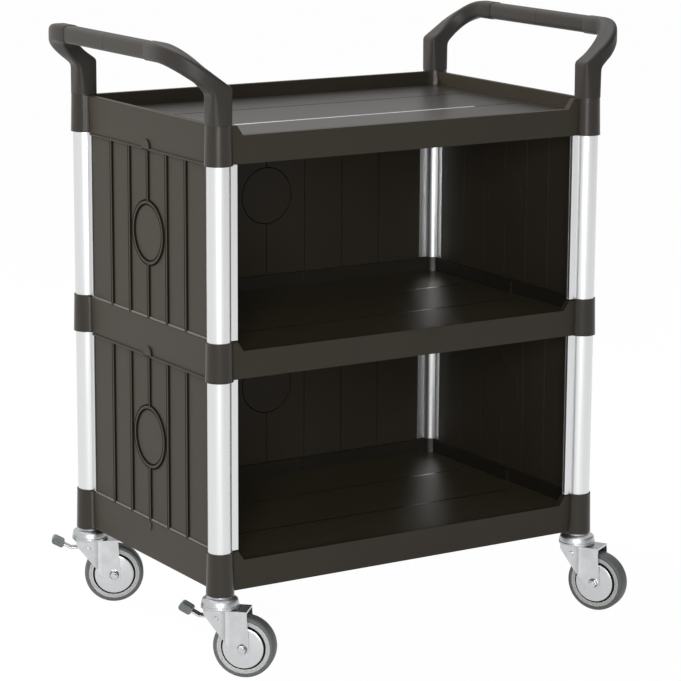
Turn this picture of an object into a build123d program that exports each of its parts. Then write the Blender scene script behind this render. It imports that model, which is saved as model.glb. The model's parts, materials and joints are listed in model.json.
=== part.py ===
from build123d import *
import math
import os

# Service cart, in millimetres. X runs along the cart, -Y is the open front and Z is up from the floor.
# The origin is on the floor, under the middle of the four posts.

# Layout
POST_SPAN_X = 696.0
POST_SPAN_Y = 450.0
POST_LENGTH = 274.0
COLLAR_FOOT_Z = 132.0
COLLAR_HEIGHT = 62.0
BOTTOM_COLLAR_HEIGHT = 68.0

# Shelves: offsets named OUT are measured outwards from the line between two post axes
COLLAR_TOP_R = 21.0
COLLAR_FOOT_R = 22.5
RIM_OUT = 4.5
SKIRT_FOOT_OUT = 3.5
BOTTOM_SKIRT_LIFT = 2.0
RIM_WIDTH = 12.0
RIM_EDGE_R = 3.0
RIM_DROP = 2.0
SHELF_WALL = 3.2
FLOOR_DROP = 24.5
FLOOR_T = 4.0
LIP_DROP = 18.0
LIP_START = 29.0
LIP_RUN = 12.0
FLOOR_LINE_PITCH = 156.0
FLOOR_LINE_COUNT = 2
FLOOR_LINE_WIDTH = 4.0
FLOOR_LINE_DEPTH = 0.4
FLOOR_LINE_END = 30.0
KEEPER_WIDTH = 61.0
KEEPER_T = 2.5
KEEPER_OFFSET = 100.0
STUD_R = 8.0
STUD_DROP = 3.0
STUD_PROUD = 1.4

# Posts: a round tube with two slotted wings
TUBE_R = 19.0
TUBE_WALL = 2.0
WING_REACH = 12.0
WING_T = 8.0
SLOT_DEPTH = 10.5
SPIGOT_LENGTH = 40.0
SPIGOT_WALL = 4.5
SPIGOT_CLEAR = 0.1
WEB_T = 10.0

# Panels: ribs, ring and head band stand out from a thin sheet, with a fine groove behind each rib
PANEL_T = 3.0
PANEL_CLEAR = 0.2
PANEL_EDGE_GAP = 1.0
RIB_WIDTH = 7.5
RIB_CREST = 6.5
RIB_PROUD = 3.0
GROOVE_WIDTH = 2.2
GROOVE_DEPTH = 1.2
SIDE_RIB_PITCH = 62.5
SIDE_RIB_COUNT = 5
BACK_RIB_PITCH = 76.8
BACK_RIB_COUNT = 7
RING_R = 49.0
BAND_HEIGHT = 3.5
BAND_PROUD = 5.0
BAND_END_GAP = 1.0
TONGUE_R = 12.0
TONGUE_RISE = 2.0
TONGUE_T = 1.8

# Handles
STUB_FOOT = 40.0
STUB_FOOT_CORNER_R = 19.0
STUB_HEAD = 35.0
STUB_HEAD_CORNER_R = 8.0
ELBOW_RISE = 51.0
ELBOW_DROP = 12.0
GRIP_OUT = 67.0
GRIP_RISE = 108.0
GRIP_WIDTH = 26.0
GRIP_HEIGHT = 28.0
GRIP_CORNER_R = 9.0
GRIP_HALF_LENGTH = 135.0
GRIP_STEP = 0.9
ARM_RISE = 51.0
ARM_START = 12.0
ARM_WIDTH = 33.0
ARM_T = 27.5
ARM_CORNER_R = 8.0
BEND_SECTIONS = 6
SOCKET_R = 14.0
SOCKET_DEPTH = 36.0
SOCKET_CLEAR = 0.1
SOCKET_END_GAP = 1.0
CORE_R = 8.0
CORE_WALL = 1.5
CORE_HALF_LENGTH = 150.0
CORE_CLEAR = 0.05

# Castors, in their own frame: the swivel axis is Z and the wheel trails along +X
WHEEL_R = 50.0
WHEEL_TRAIL = 40.0
TYRE_WIDTH = 28.0
TYRE_SHOULDER_R = 6.0
RIM_R = 43.0
RIM_LAND_R = 36.0
RIM_WIDE = 26.0
RIM_WEB_T = 12.0
HUB_R = 14.0
HUB_LENGTH = 29.0
BUSH_R = 6.0
BUSH_RUN_CLEAR = 0.08
AXLE_R = 4.0
AXLE_CLEAR = 0.05
AXLE_HEAD_AF = 13.0
AXLE_HEAD_T = 5.3
AXLE_NUT_T = 6.5
AXLE_THREAD_END = 1.5
GUARD_R = 33.0
GUARD_T = 1.6
GUARD_BOSS_R = 16.0
GUARD_DISH = 1.0
GUARD_GAP = 0.5
FORK_HALF_GAP = 18.0
FORK_T = 2.5
FORK_PLATE_T = 3.0
FORK_TOP_Z = 110.5
FORK_NOSE = 24.0
FORK_TAIL = 47.0
FORK_EYE_R = 11.0
FORK_CREASE_X = 13.0
FORK_BEND_ANGLE = 8.0
FORK_NOSE_DEPTH = 9.0
FORK_KNEE_X = 6.0
FORK_KNEE_Z = 65.0
RACE_R = 27.0
BALL_R = 3.0
BALL_COUNT = 18
BALL_RING_R = 21.5
BALL_CLEAR = 0.05
BALL_RUN_GAP = 0.35
STEM_R = 6.0
STEM_CLEAR = 0.08
STEM_BLOCK = 40.0
STEM_END = 4.0
STEM_FLANGE_R = 26.0
STEM_FLANGE_T = 3.0
RIVET_R = 11.0
RIVET_T = 3.5
RIVET_GAP = 0.35
WASHER_R = 11.5
WASHER_T = 2.5
STEM_NUT_AF = 19.0
STEM_NUT_T = 10.0
HEAD_R = 30.5
HEAD_NECK_R = 21.0
HEAD_LIP = 4.0
HEAD_T = 2.2
HEAD_GAP = 1.0

# Brake pedals, in the castor's frame
PIVOT_X = -3.5
PIVOT_Z = 95.0
PIN_R = 3.0
PIN_CLEAR = 0.08
PIN_HEAD_R = 4.5
PIN_HEAD_T = 1.5
LEVER_HUB_R = 6.0
LEVER_HALF_WIDTH = 8.0
LEVER_T = 3.0
LEVER_KNEE_OUT = 9.0
LEVER_RISE = 15.0
LEVER_REACH = 58.0
BRAKE_ANGLE = 20.0
BRAKE_GAP = 0.6
SHOE_HALF_WIDTH = 3.0
PAD_LENGTH = 22.0
PAD_T = 12.5
PAD_WIDTH = 20.0
PAD_CORNER_R = 5.0
PAD_COVER = 3.0

# Worked out from the values above
HALF_X = POST_SPAN_X / 2
HALF_Y = POST_SPAN_Y / 2
BOTTOM_RIM_Z = COLLAR_FOOT_Z + BOTTOM_COLLAR_HEIGHT
MIDDLE_FOOT_Z = BOTTOM_RIM_Z + POST_LENGTH
MIDDLE_RIM_Z = MIDDLE_FOOT_Z + COLLAR_HEIGHT
TOP_FOOT_Z = MIDDLE_RIM_Z + POST_LENGTH
TOP_RIM_Z = TOP_FOOT_Z + COLLAR_HEIGHT
SPIGOT_R = TUBE_R - TUBE_WALL - SPIGOT_CLEAR
BORE_R = SPIGOT_R - SPIGOT_WALL
TRAY_X = HALF_X + RIM_OUT - RIM_WIDTH
TRAY_Y = HALF_Y + RIM_OUT - RIM_WIDTH
PANEL_HEIGHT = POST_LENGTH + RIM_DROP
PANEL_INSET = TUBE_R + WING_REACH - SLOT_DEPTH + PANEL_EDGE_GAP
GRIP_X = HALF_X + GRIP_OUT
GRIP_Z = TOP_RIM_Z + GRIP_RISE
SLEEVE_WIDTH = GRIP_WIDTH + 2 * GRIP_STEP
SLEEVE_HEIGHT = GRIP_HEIGHT + 2 * GRIP_STEP
ARM_BEND_R = GRIP_OUT - ARM_START
FORK_UNDER_Z = FORK_TOP_Z - FORK_PLATE_T
FORK_OUT_Y = FORK_HALF_GAP + FORK_T
FLANGE_Z = FORK_TOP_Z + BALL_CLEAR + 2 * BALL_R + BALL_RUN_GAP
STEM_NUT_Z = COLLAR_FOOT_Z + STEM_BLOCK

# Past a face that a cut has to break through
OVERCUT = 1.0

CORNERS = {
    "front_left": (-1, -1),
    "front_right": (1, -1),
    "rear_left": (-1, 1),
    "rear_right": (1, 1),
}
TRAIL_ANGLE = {
    "front_left": -43.0,
    "front_right": -60.0,
    "rear_left": -27.0,
    "rear_right": 60.0,
}
BRAKED_CORNERS = ("front_left", "rear_left")

UPRIGHT = (Align.CENTER, Align.CENTER, Align.MIN)


def block(x, y, z):
    """A box between two limits on each axis, each given as a (low, high) pair."""
    size = Box(x[1] - x[0], y[1] - y[0], z[1] - z[0])
    return Pos((x[0] + x[1]) / 2, (y[0] + y[1]) / 2, (z[0] + z[1]) / 2) * size


def rod(radius, low, high):
    """A round bar about Z between two heights."""
    return Pos(0, 0, low) * Cylinder(radius, high - low, align=UPRIGHT)


def side_prism(face, y_low, y_high):
    """Stand a face drawn in X and Z upright and give it a thickness along Y."""
    return Pos(0, y_high, 0) * extrude(Plane.XZ * face, amount=y_high - y_low)


def outline(*points):
    """The face inside a closed run of straight edges."""
    return make_face(Polyline(*points, close=True))


def turned(*points):
    """A ring or disc about Z, from a closed outline of (radius, height) points."""
    return revolve(Plane.XZ * outline(*points), Axis.Z)


def at_posts(shape):
    """One copy of a shape at each of the four post axes."""
    return [Pos(sx * HALF_X, sy * HALF_Y, 0) * shape for sx, sy in CORNERS.values()]


def join(shape, extras):
    """A shape with a list of others fused on."""
    for extra in extras:
        shape = shape + extra
    return shape


def cut(shape, tools):
    """A shape with a list of others taken away."""
    for tool in tools:
        shape = shape - tool
    return shape


def skirt_out(below_rim):
    """How far the drafted skirt stands outside the post axes, so far below the rim."""
    return RIM_OUT - (RIM_OUT - SKIRT_FOOT_OUT) * below_rim / COLLAR_HEIGHT


def drafted(rim_z, low, high, inset):
    """A block that follows the skirt's draft between two heights, drawn in by an inset."""
    ends = []
    for z in (low, high):
        out = skirt_out(rim_z - z) - inset
        ends.append(Pos(0, 0, z) * Rectangle(2 * (HALF_X + out), 2 * (HALF_Y + out)))
    return loft(ends)


def shelf_moulding(rim_z, collar_foot, skirt_foot):
    """Tray, rim, drafted skirt and solid corner collars of one shelf."""
    floor_z = rim_z - FLOOR_DROP
    under_z = floor_z - FLOOR_T
    lip_z = rim_z - LIP_DROP
    crest_z = rim_z - RIM_DROP
    solid = drafted(rim_z, skirt_foot, crest_z, 0)
    solid = fillet(solid.faces().sort_by(Axis.Z)[-1].edges(), RIM_EDGE_R)
    tray = block((-TRAY_X, TRAY_X), (-TRAY_Y, TRAY_Y), (floor_z, rim_z + OVERCUT))
    hollow = drafted(rim_z, skirt_foot - OVERCUT, under_z, SHELF_WALL)
    channel = drafted(rim_z, under_z - OVERCUT, crest_z - RIM_EDGE_R - SHELF_WALL, SHELF_WALL)
    core_x = TRAY_X + SHELF_WALL
    core_y = TRAY_Y + SHELF_WALL
    channel = channel - block((-core_x, core_x), (-POST_SPAN_Y, core_y), (skirt_foot, rim_z))
    mouth = outline(
        (LIP_START - HALF_X, rim_z + OVERCUT),
        (LIP_START - HALF_X, rim_z),
        (LIP_START + LIP_RUN - HALF_X, lip_z),
        (HALF_X - LIP_START - LIP_RUN, lip_z),
        (HALF_X - LIP_START, rim_z),
        (HALF_X - LIP_START, rim_z + OVERCUT),
    )
    mouth = side_prism(mouth, -HALF_Y - RIM_OUT - OVERCUT, -TRAY_Y)
    solid = cut(solid, [tray, hollow, channel, mouth])
    lines = []
    for i in range(FLOOR_LINE_COUNT):
        y = (i - (FLOOR_LINE_COUNT - 1) / 2) * FLOOR_LINE_PITCH
        reach = TRAY_X - FLOOR_LINE_END
        half = FLOOR_LINE_WIDTH / 2
        lines.append(block((-reach, reach), (y - half, y + half), (floor_z - FLOOR_LINE_DEPTH, floor_z)))
    solid = cut(solid, lines)
    height = rim_z - collar_foot
    collar = Pos(0, 0, collar_foot) * Cone(COLLAR_FOOT_R, COLLAR_TOP_R, height, align=UPRIGHT)
    return join(solid, at_posts(collar))


def keepers(rim_z):
    """Low pads on a shelf's inner walls, two at the back and one at each end, behind the panels' feet."""
    z = (rim_z - FLOOR_DROP, rim_z - RIM_DROP - RIM_EDGE_R)
    half = KEEPER_WIDTH / 2
    pads = []
    for side in (-1, 1):
        middle = side * KEEPER_OFFSET
        pads.append(block((middle - half, middle + half), (TRAY_Y - KEEPER_T, TRAY_Y), z))
        end = side * (TRAY_X - KEEPER_T / 2)
        pads.append(block((end - KEEPER_T / 2, end + KEEPER_T / 2), (-half, half), z))
    return pads


def top_shelf():
    """Top tray: handle sockets above, post spigots below."""
    solid = shelf_moulding(TOP_RIM_Z, TOP_FOOT_Z, TOP_FOOT_Z)
    socket_floor = TOP_RIM_Z - SOCKET_DEPTH
    solid = join(solid, at_posts(rod(SPIGOT_R, TOP_FOOT_Z - SPIGOT_LENGTH, TOP_FOOT_Z)))
    sockets = at_posts(rod(SOCKET_R, socket_floor, TOP_RIM_Z + OVERCUT))
    bores = at_posts(rod(BORE_R, TOP_FOOT_Z - SPIGOT_LENGTH - OVERCUT, socket_floor - WEB_T))
    return cut(solid, sockets + bores)


def middle_shelf():
    """Middle shelf: post spigots above and below."""
    solid = shelf_moulding(MIDDLE_RIM_Z, MIDDLE_FOOT_Z, MIDDLE_FOOT_Z)
    low = MIDDLE_FOOT_Z - SPIGOT_LENGTH
    high = MIDDLE_RIM_Z + SPIGOT_LENGTH
    web = (MIDDLE_FOOT_Z + MIDDLE_RIM_Z) / 2
    solid = join(solid, at_posts(rod(SPIGOT_R, low, high)) + keepers(MIDDLE_RIM_Z))
    bores = at_posts(rod(BORE_R, low - OVERCUT, web - WEB_T / 2))
    bores += at_posts(rod(BORE_R, web + WEB_T / 2, high + OVERCUT))
    return cut(solid, bores)


def bottom_shelf():
    """Bottom shelf: post spigots above, castor stem holes below, a low stud under three panels' middles."""
    solid = shelf_moulding(BOTTOM_RIM_Z, COLLAR_FOOT_Z, COLLAR_FOOT_Z + BOTTOM_SKIRT_LIFT)
    high = BOTTOM_RIM_Z + SPIGOT_LENGTH
    solid = join(solid, at_posts(rod(SPIGOT_R, STEM_NUT_Z, high)) + keepers(BOTTOM_RIM_Z))
    bores = at_posts(rod(BORE_R, STEM_NUT_Z, high + OVERCUT))
    bores += at_posts(rod(STEM_R + STEM_CLEAR, COLLAR_FOOT_Z - OVERCUT, STEM_NUT_Z + OVERCUT))
    skirt_face = skirt_out(STUD_DROP + STUD_R)
    stud_z = BOTTOM_RIM_Z - STUD_DROP - STUD_R
    studs = []
    for turn, reach in ((0, HALF_X), (90, HALF_Y), (180, HALF_X)):
        stud = rod(STUD_R, reach + skirt_face - SHELF_WALL / 2, reach + skirt_face + STUD_PROUD)
        studs.append(Pos(0, 0, stud_z) * Rot(0, 0, turn) * Rot(0, 90, 0) * stud)
    return cut(join(solid, studs), bores)


def post(corner, foot_z):
    """One post: a tube with a slotted wing towards each of its two neighbours."""
    sx, sy = CORNERS[corner]
    reach = TUBE_R + WING_REACH
    slot_half = PANEL_T / 2 + PANEL_CLEAR
    profile = Circle(TUBE_R)
    slots = []
    for turn in (0, 90):
        wing = Rot(0, 0, turn) * Pos(reach / 2, 0) * Rectangle(reach, WING_T)
        slot = Rot(0, 0, turn) * Pos(reach - SLOT_DEPTH / 2, 0) * Rectangle(SLOT_DEPTH, 2 * slot_half)
        profile = profile + wing
        slots.append(slot)
    profile = cut(profile, slots) - Circle(TUBE_R - TUBE_WALL)
    turn = {(-1, -1): 0, (1, -1): 90, (1, 1): 180, (-1, 1): 270}[(sx, sy)]
    solid = extrude(profile, amount=POST_LENGTH)
    return Pos(sx * HALF_X, sy * HALF_Y, foot_z) * Rot(0, 0, turn) * solid


def ring_face(radius, width):
    """A flat ring of a given middle radius and width."""
    return Circle(radius + width / 2) - Circle(radius - width / 2)


def panel(span, rib_pitch, rib_count):
    """One panel, standing on its foot with its outer side towards -Y."""
    half = span / 2 - PANEL_INSET
    face_y = -PANEL_T / 2
    crest_y = face_y - RIB_PROUD
    groove_y = -face_y - GROOVE_DEPTH
    mid_z = PANEL_HEIGHT - POST_LENGTH / 2
    solid = block((-half, half), (face_y, -face_y), (0, PANEL_HEIGHT))
    rib = outline(
        (-RIB_WIDTH / 2, 0),
        (RIB_WIDTH / 2, 0),
        (RIB_WIDTH / 2, face_y),
        (RIB_CREST / 2, crest_y),
        (-RIB_CREST / 2, crest_y),
        (-RIB_WIDTH / 2, face_y),
    )
    rib = extrude(rib, amount=PANEL_HEIGHT)
    groove = block((-GROOVE_WIDTH / 2, GROOVE_WIDTH / 2), (groove_y, -face_y + OVERCUT), (0, PANEL_HEIGHT))
    disc = side_prism(Circle(RING_R), crest_y - OVERCUT, -face_y + 2 * OVERCUT)
    disc = Pos(0, 0, mid_z) * disc
    ribs = []
    grooves = []
    for i in range(rib_count):
        x = (i - (rib_count - 1) / 2) * rib_pitch
        if abs(x) < RING_R:
            ribs.append(Pos(x, 0, 0) * rib - disc)
            grooves.append(Pos(x, 0, 0) * groove - disc)
        else:
            ribs.append(Pos(x, 0, 0) * rib)
            grooves.append(Pos(x, 0, 0) * groove)
    ribs.append(Pos(0, 0, mid_z) * side_prism(ring_face(RING_R, RIB_WIDTH), crest_y, face_y))
    ring_groove = side_prism(ring_face(RING_R, GROOVE_WIDTH), groove_y, -face_y + OVERCUT)
    grooves.append(Pos(0, 0, mid_z) * ring_groove)
    band_half = span / 2 - TUBE_R - WING_REACH - BAND_END_GAP
    band_y = face_y - BAND_PROUD
    band = block((-band_half, band_half), (band_y, face_y), (PANEL_HEIGHT - BAND_HEIGHT, PANEL_HEIGHT))
    crown_z = PANEL_HEIGHT + TONGUE_RISE
    tongue = Pos(0, crown_z) * Circle(TONGUE_R)
    tongue = tongue - Pos(0, crown_z - TONGUE_R) * Rectangle(2 * TONGUE_R, 2 * TONGUE_R)
    stalk = TONGUE_RISE + BAND_HEIGHT
    tongue = tongue + Pos(0, crown_z - stalk / 2) * Rectangle(2 * TONGUE_R, stalk)
    tongue = side_prism(tongue, band_y, band_y + TONGUE_T)
    return cut(join(solid, ribs), grooves) + band + tongue


def panels():
    """Left, right and back panels of both tiers, by node name."""
    sides = {
        "left": (-90, -HALF_X, 0, POST_SPAN_Y, SIDE_RIB_PITCH, SIDE_RIB_COUNT),
        "right": (90, HALF_X, 0, POST_SPAN_Y, SIDE_RIB_PITCH, SIDE_RIB_COUNT),
        "back": (180, 0, HALF_Y, POST_SPAN_X, BACK_RIB_PITCH, BACK_RIB_COUNT),
    }
    nodes = {}
    for side, (turn, x, y, span, pitch, count) in sides.items():
        shape = Rot(0, 0, turn) * panel(span, pitch, count)
        for tier, foot_z in (("lower", BOTTOM_RIM_Z - RIM_DROP), ("upper", MIDDLE_RIM_Z - RIM_DROP)):
            nodes[f"{tier}_{side}_panel"] = Pos(x, y, foot_z) * shape
    return nodes


def arm_section(out, turn, share):
    """Cross-section of the rear right arm, so far out from the post and turned so far towards the middle."""
    climb = (GRIP_RISE - ARM_RISE) / GRIP_OUT
    cosine = math.cos(math.radians(turn))
    sine = math.sin(math.radians(turn))
    inward = ARM_BEND_R * (1 - cosine)
    place = (HALF_X + out, HALF_Y - inward, TOP_RIM_Z + ARM_RISE + climb * out)
    across = (sine, cosine, 0)
    ahead = (cosine, -sine, climb * cosine)
    width = ARM_WIDTH + (SLEEVE_WIDTH - ARM_WIDTH) * share
    depth = ARM_T + (SLEEVE_HEIGHT - ARM_T) * share
    corner = ARM_CORNER_R + (GRIP_CORNER_R - ARM_CORNER_R) * share
    return Plane(place, x_dir=across, z_dir=ahead) * RectangleRounded(width, depth, corner)


def handle_half():
    """Rear half of the right handle: spigot, stub, arm, sleeve and half of the grip."""
    foot = Plane((HALF_X, HALF_Y, TOP_RIM_Z), x_dir=(0, 1, 0), z_dir=(0, 0, 1))
    foot = foot * RectangleRounded(STUB_FOOT, STUB_FOOT, STUB_FOOT_CORNER_R)
    elbow = Plane((HALF_X, HALF_Y, TOP_RIM_Z + ELBOW_RISE), x_dir=(0, 1, 0), z_dir=(ELBOW_DROP, 0, STUB_HEAD))
    elbow = elbow * RectangleRounded(STUB_HEAD, math.hypot(STUB_HEAD, ELBOW_DROP), STUB_HEAD_CORNER_R)
    bend = []
    for i in range(BEND_SECTIONS + 1):
        share = i / BEND_SECTIONS
        turn = 90 * share
        out = ARM_START + ARM_BEND_R * math.sin(math.radians(turn))
        bend.append(arm_section(out, turn, share))
    grip_end = Plane((GRIP_X, GRIP_HALF_LENGTH, GRIP_Z), x_dir=(1, 0, 0), z_dir=(0, -1, 0))
    grip = grip_end * RectangleRounded(GRIP_WIDTH, GRIP_HEIGHT, GRIP_CORNER_R)
    grip = extrude(grip, amount=GRIP_HALF_LENGTH)
    spigot = rod(SOCKET_R - SOCKET_CLEAR, TOP_RIM_Z - SOCKET_DEPTH + SOCKET_END_GAP, TOP_RIM_Z)
    sleeve = grip_end * RectangleRounded(SLEEVE_WIDTH, SLEEVE_HEIGHT, GRIP_CORNER_R)
    solid = grip + loft([bend[-1], sleeve]) + loft(bend) + loft([elbow, bend[0]]) + loft([foot, elbow])
    solid = solid + Pos(HALF_X, HALF_Y, 0) * spigot
    bore = rod(CORE_R + CORE_CLEAR, 0, CORE_HALF_LENGTH)
    return solid - Pos(GRIP_X, 0, GRIP_Z) * Rot(-90, 0, 0) * bore


def handles():
    """Two moulded halves and a core tube for each end of the cart, by node name."""
    rear_right = handle_half()
    core = rod(CORE_R, -CORE_HALF_LENGTH, CORE_HALF_LENGTH)
    core = core - rod(CORE_R - CORE_WALL, -CORE_HALF_LENGTH - OVERCUT, CORE_HALF_LENGTH + OVERCUT)
    core = Pos(GRIP_X, 0, GRIP_Z) * Rot(90, 0, 0) * core
    rear_left = mirror(rear_right, about=Plane.YZ)
    return {
        "right_handle_rear_half": rear_right,
        "right_handle_front_half": mirror(rear_right, about=Plane.XZ),
        "left_handle_rear_half": rear_left,
        "left_handle_front_half": mirror(rear_left, about=Plane.XZ),
        "right_handle_core_tube": core,
        "left_handle_core_tube": mirror(core, about=Plane.YZ),
    }


def castor_stem():
    """Threaded stem with its race flange and the riveted pin that the fork turns on."""
    top = STEM_NUT_Z + WASHER_T + STEM_NUT_T + STEM_END
    rivet_z = FORK_UNDER_Z - RIVET_GAP
    return turned(
        (0, rivet_z - RIVET_T),
        (RIVET_R, rivet_z - RIVET_T),
        (RIVET_R, rivet_z),
        (STEM_R, rivet_z),
        (STEM_R, FLANGE_Z),
        (STEM_FLANGE_R, FLANGE_Z),
        (STEM_FLANGE_R, FLANGE_Z + STEM_FLANGE_T),
        (STEM_R, FLANGE_Z + STEM_FLANGE_T),
        (STEM_R, top),
        (0, top),
    )


def castor_head():
    """Domed cover over the balls, seated under the collar."""
    low = FORK_TOP_Z + HEAD_GAP
    lip = low + HEAD_LIP
    seat = COLLAR_FOOT_Z
    bulge = ((HEAD_NECK_R + HEAD_R) / 2 + HEAD_T, (lip + seat) / 2 + HEAD_T)
    hole = STEM_R + STEM_CLEAR

    def wall(inset):
        """The dome's line from its hole to its lip, drawn in by an inset."""
        crown = Line((hole, seat - inset), (HEAD_NECK_R - inset, seat - inset))
        shoulder = ThreePointArc(
            (HEAD_NECK_R - inset, seat - inset),
            (bulge[0] - inset, bulge[1] - inset),
            (HEAD_R - inset, lip - inset / 2),
        )
        return [crown, shoulder, Line((HEAD_R - inset, lip - inset / 2), (HEAD_R - inset, low))]

    ends = [
        Line((hole, seat), (hole, seat - HEAD_T)),
        Line((HEAD_R, low), (HEAD_R - HEAD_T, low)),
    ]
    return revolve(Plane.XZ * make_face(wall(0) + wall(HEAD_T) + ends), Axis.Z)


def hex_block(across_flats, thickness, hole_r):
    """A hexagon nut about Z, standing on its face."""
    body = extrude(RegularPolygon(across_flats / 2, 6, major_radius=False), amount=thickness)
    return body - rod(hole_r, -OVERCUT, thickness + OVERCUT)


def castor_nut():
    """Washer and nut that hold a stem in its collar."""
    hole_r = STEM_R + STEM_CLEAR
    washer = rod(WASHER_R, 0, WASHER_T) - rod(hole_r, -OVERCUT, WASHER_T + OVERCUT)
    nut = Pos(0, 0, WASHER_T) * hex_block(STEM_NUT_AF, STEM_NUT_T, hole_r)
    return [Pos(0, 0, STEM_NUT_Z) * washer, Pos(0, 0, STEM_NUT_Z) * nut]


def fork_leg_face():
    """Side view of a fork leg, in X and Z."""
    body = outline(
        (-FORK_NOSE, FORK_TOP_Z),
        (FORK_TAIL, FORK_TOP_Z),
        (WHEEL_TRAIL + FORK_EYE_R, WHEEL_R),
        (WHEEL_TRAIL - FORK_EYE_R / 2, WHEEL_R - FORK_EYE_R * math.sqrt(3) / 2),
        (FORK_KNEE_X, FORK_KNEE_Z),
        (-FORK_NOSE, FORK_TOP_Z - FORK_NOSE_DEPTH),
    )
    eye = Pos(WHEEL_TRAIL, WHEEL_R) * Circle(FORK_EYE_R)
    return body + eye - Pos(WHEEL_TRAIL, WHEEL_R) * Circle(AXLE_R + AXLE_CLEAR)


def pin_reach():
    """How far the fork's legs stand out where the brake pin's heads sit against them."""
    slope = math.tan(math.radians(FORK_BEND_ANGLE))
    return FORK_OUT_Y - (FORK_CREASE_X - PIVOT_X - PIN_HEAD_R) * slope


def fork(braked):
    """Pressed fork: a top plate with a ball race and two legs that draw in towards the nose.

    An unbraked fork has a pressed dimple where the other kind has its brake pin.
    """
    leg = side_prism(fork_leg_face(), FORK_HALF_GAP, FORK_OUT_Y)
    tall = (0, FORK_TOP_Z + OVERCUT)
    deep = (0, 2 * FORK_OUT_Y)
    flat = leg & block((FORK_CREASE_X, 2 * WHEEL_R), deep, tall)
    nose = leg & block((-2 * WHEEL_R, FORK_CREASE_X), deep, tall)
    hinge = Pos(FORK_CREASE_X, FORK_OUT_Y, 0)
    nose = hinge * Rot(0, 0, FORK_BEND_ANGLE) * hinge.inverse() * nose
    draw_in = (FORK_CREASE_X + FORK_NOSE) * math.tan(math.radians(FORK_BEND_ANGLE))
    plate = outline(
        (-FORK_NOSE, draw_in - FORK_OUT_Y),
        (FORK_CREASE_X, -FORK_OUT_Y),
        (FORK_TAIL, -FORK_OUT_Y),
        (FORK_TAIL, FORK_OUT_Y),
        (FORK_CREASE_X, FORK_OUT_Y),
        (-FORK_NOSE, FORK_OUT_Y - draw_in),
    )
    plate = Pos(0, 0, FORK_UNDER_Z) * extrude(plate + Circle(RACE_R), amount=FORK_PLATE_T)
    solid = plate + flat + nose
    solid = join(solid, [mirror(flat, about=Plane.XZ), mirror(nose, about=Plane.XZ)])
    solid = solid - rod(STEM_R + STEM_CLEAR, FORK_UNDER_Z - OVERCUT, FORK_TOP_Z + OVERCUT)
    pivot = Pos(PIVOT_X, 0, PIVOT_Z) * Rot(90, 0, 0)
    if braked:
        return solid - pivot * Cylinder(PIN_R + PIN_CLEAR, 4 * FORK_OUT_Y)
    dimple = rod(PIN_HEAD_R, pin_reach() - FORK_T, pin_reach() + PIN_HEAD_T)
    return join(solid, [pivot * dimple, pivot * mirror(dimple, about=Plane.XY)])


def swivel_balls():
    """The ring of balls between the fork's race and the stem's flange."""
    ball = Pos(BALL_RING_R, 0, FORK_TOP_Z + BALL_CLEAR + BALL_R) * Sphere(BALL_R)
    return [Rot(0, 0, 360 * i / BALL_COUNT) * ball for i in range(BALL_COUNT)]


def on_axle(shape):
    """Lay a shape made about Z along the wheel's axle."""
    return Pos(WHEEL_TRAIL, 0, WHEEL_R) * Rot(90, 0, 0) * shape


def axle():
    """Axle bolt and nut."""
    end = FORK_OUT_Y + AXLE_NUT_T + AXLE_THREAD_END
    head = extrude(RegularPolygon(AXLE_HEAD_AF / 2, 6, major_radius=False), amount=-AXLE_HEAD_T)
    bolt = rod(AXLE_R, -FORK_OUT_Y, end) + Pos(0, 0, -FORK_OUT_Y) * head
    nut = Pos(0, 0, FORK_OUT_Y) * hex_block(AXLE_HEAD_AF, AXLE_NUT_T, AXLE_R + AXLE_CLEAR)
    return [on_axle(bolt), on_axle(nut)]


def axle_bush():
    """Spacer tube clamped between the fork legs, that the wheel turns on."""
    tube = rod(BUSH_R, -FORK_HALF_GAP, FORK_HALF_GAP)
    hole = rod(AXLE_R + AXLE_CLEAR, -FORK_HALF_GAP - OVERCUT, FORK_HALF_GAP + OVERCUT)
    return on_axle(tube - hole)


def thread_guards():
    """Two dished discs between the wheel and the fork legs."""
    hole = BUSH_R + AXLE_CLEAR
    inner = HUB_LENGTH / 2 + GUARD_GAP
    guard = turned(
        (hole, inner),
        (GUARD_BOSS_R, inner),
        (GUARD_R, inner - GUARD_DISH),
        (GUARD_R, inner - GUARD_DISH + GUARD_T),
        (GUARD_BOSS_R, inner + GUARD_T),
        (GUARD_BOSS_R, FORK_HALF_GAP),
        (hole, FORK_HALF_GAP),
    )
    return [on_axle(guard), on_axle(mirror(guard, about=Plane.XY))]


def wheel_rim():
    """Moulded wheel centre: hub, web and the land that the tyre sits on."""
    bore = BUSH_R + BUSH_RUN_CLEAR
    half = [
        (bore, HUB_LENGTH / 2),
        (HUB_R, HUB_LENGTH / 2),
        (HUB_R, RIM_WEB_T / 2),
        (RIM_LAND_R, RIM_WEB_T / 2),
        (RIM_LAND_R, RIM_WIDE / 2),
        (RIM_R, RIM_WIDE / 2),
    ]
    lower = [(r, -z) for r, z in reversed(half)]
    return on_axle(turned(*half, *lower))


def tyre():
    """Rubber tread with rounded shoulders."""
    section = Pos((RIM_R + WHEEL_R) / 2, 0) * Rectangle(WHEEL_R - RIM_R, TYRE_WIDTH)
    section = fillet(section.vertices().group_by(Axis.X)[-1], TYRE_SHOULDER_R)
    return on_axle(revolve(Plane.XZ * section, Axis.Z))


def lever_line():
    """Points along the middle of the pedal strip, from the pivot outwards, in X and Z."""
    knee = -FORK_NOSE - LEVER_KNEE_OUT
    return [(PIVOT_X, PIVOT_Z), (knee, PIVOT_Z), (PIVOT_X - LEVER_REACH, PIVOT_Z + LEVER_RISE)]


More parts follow.
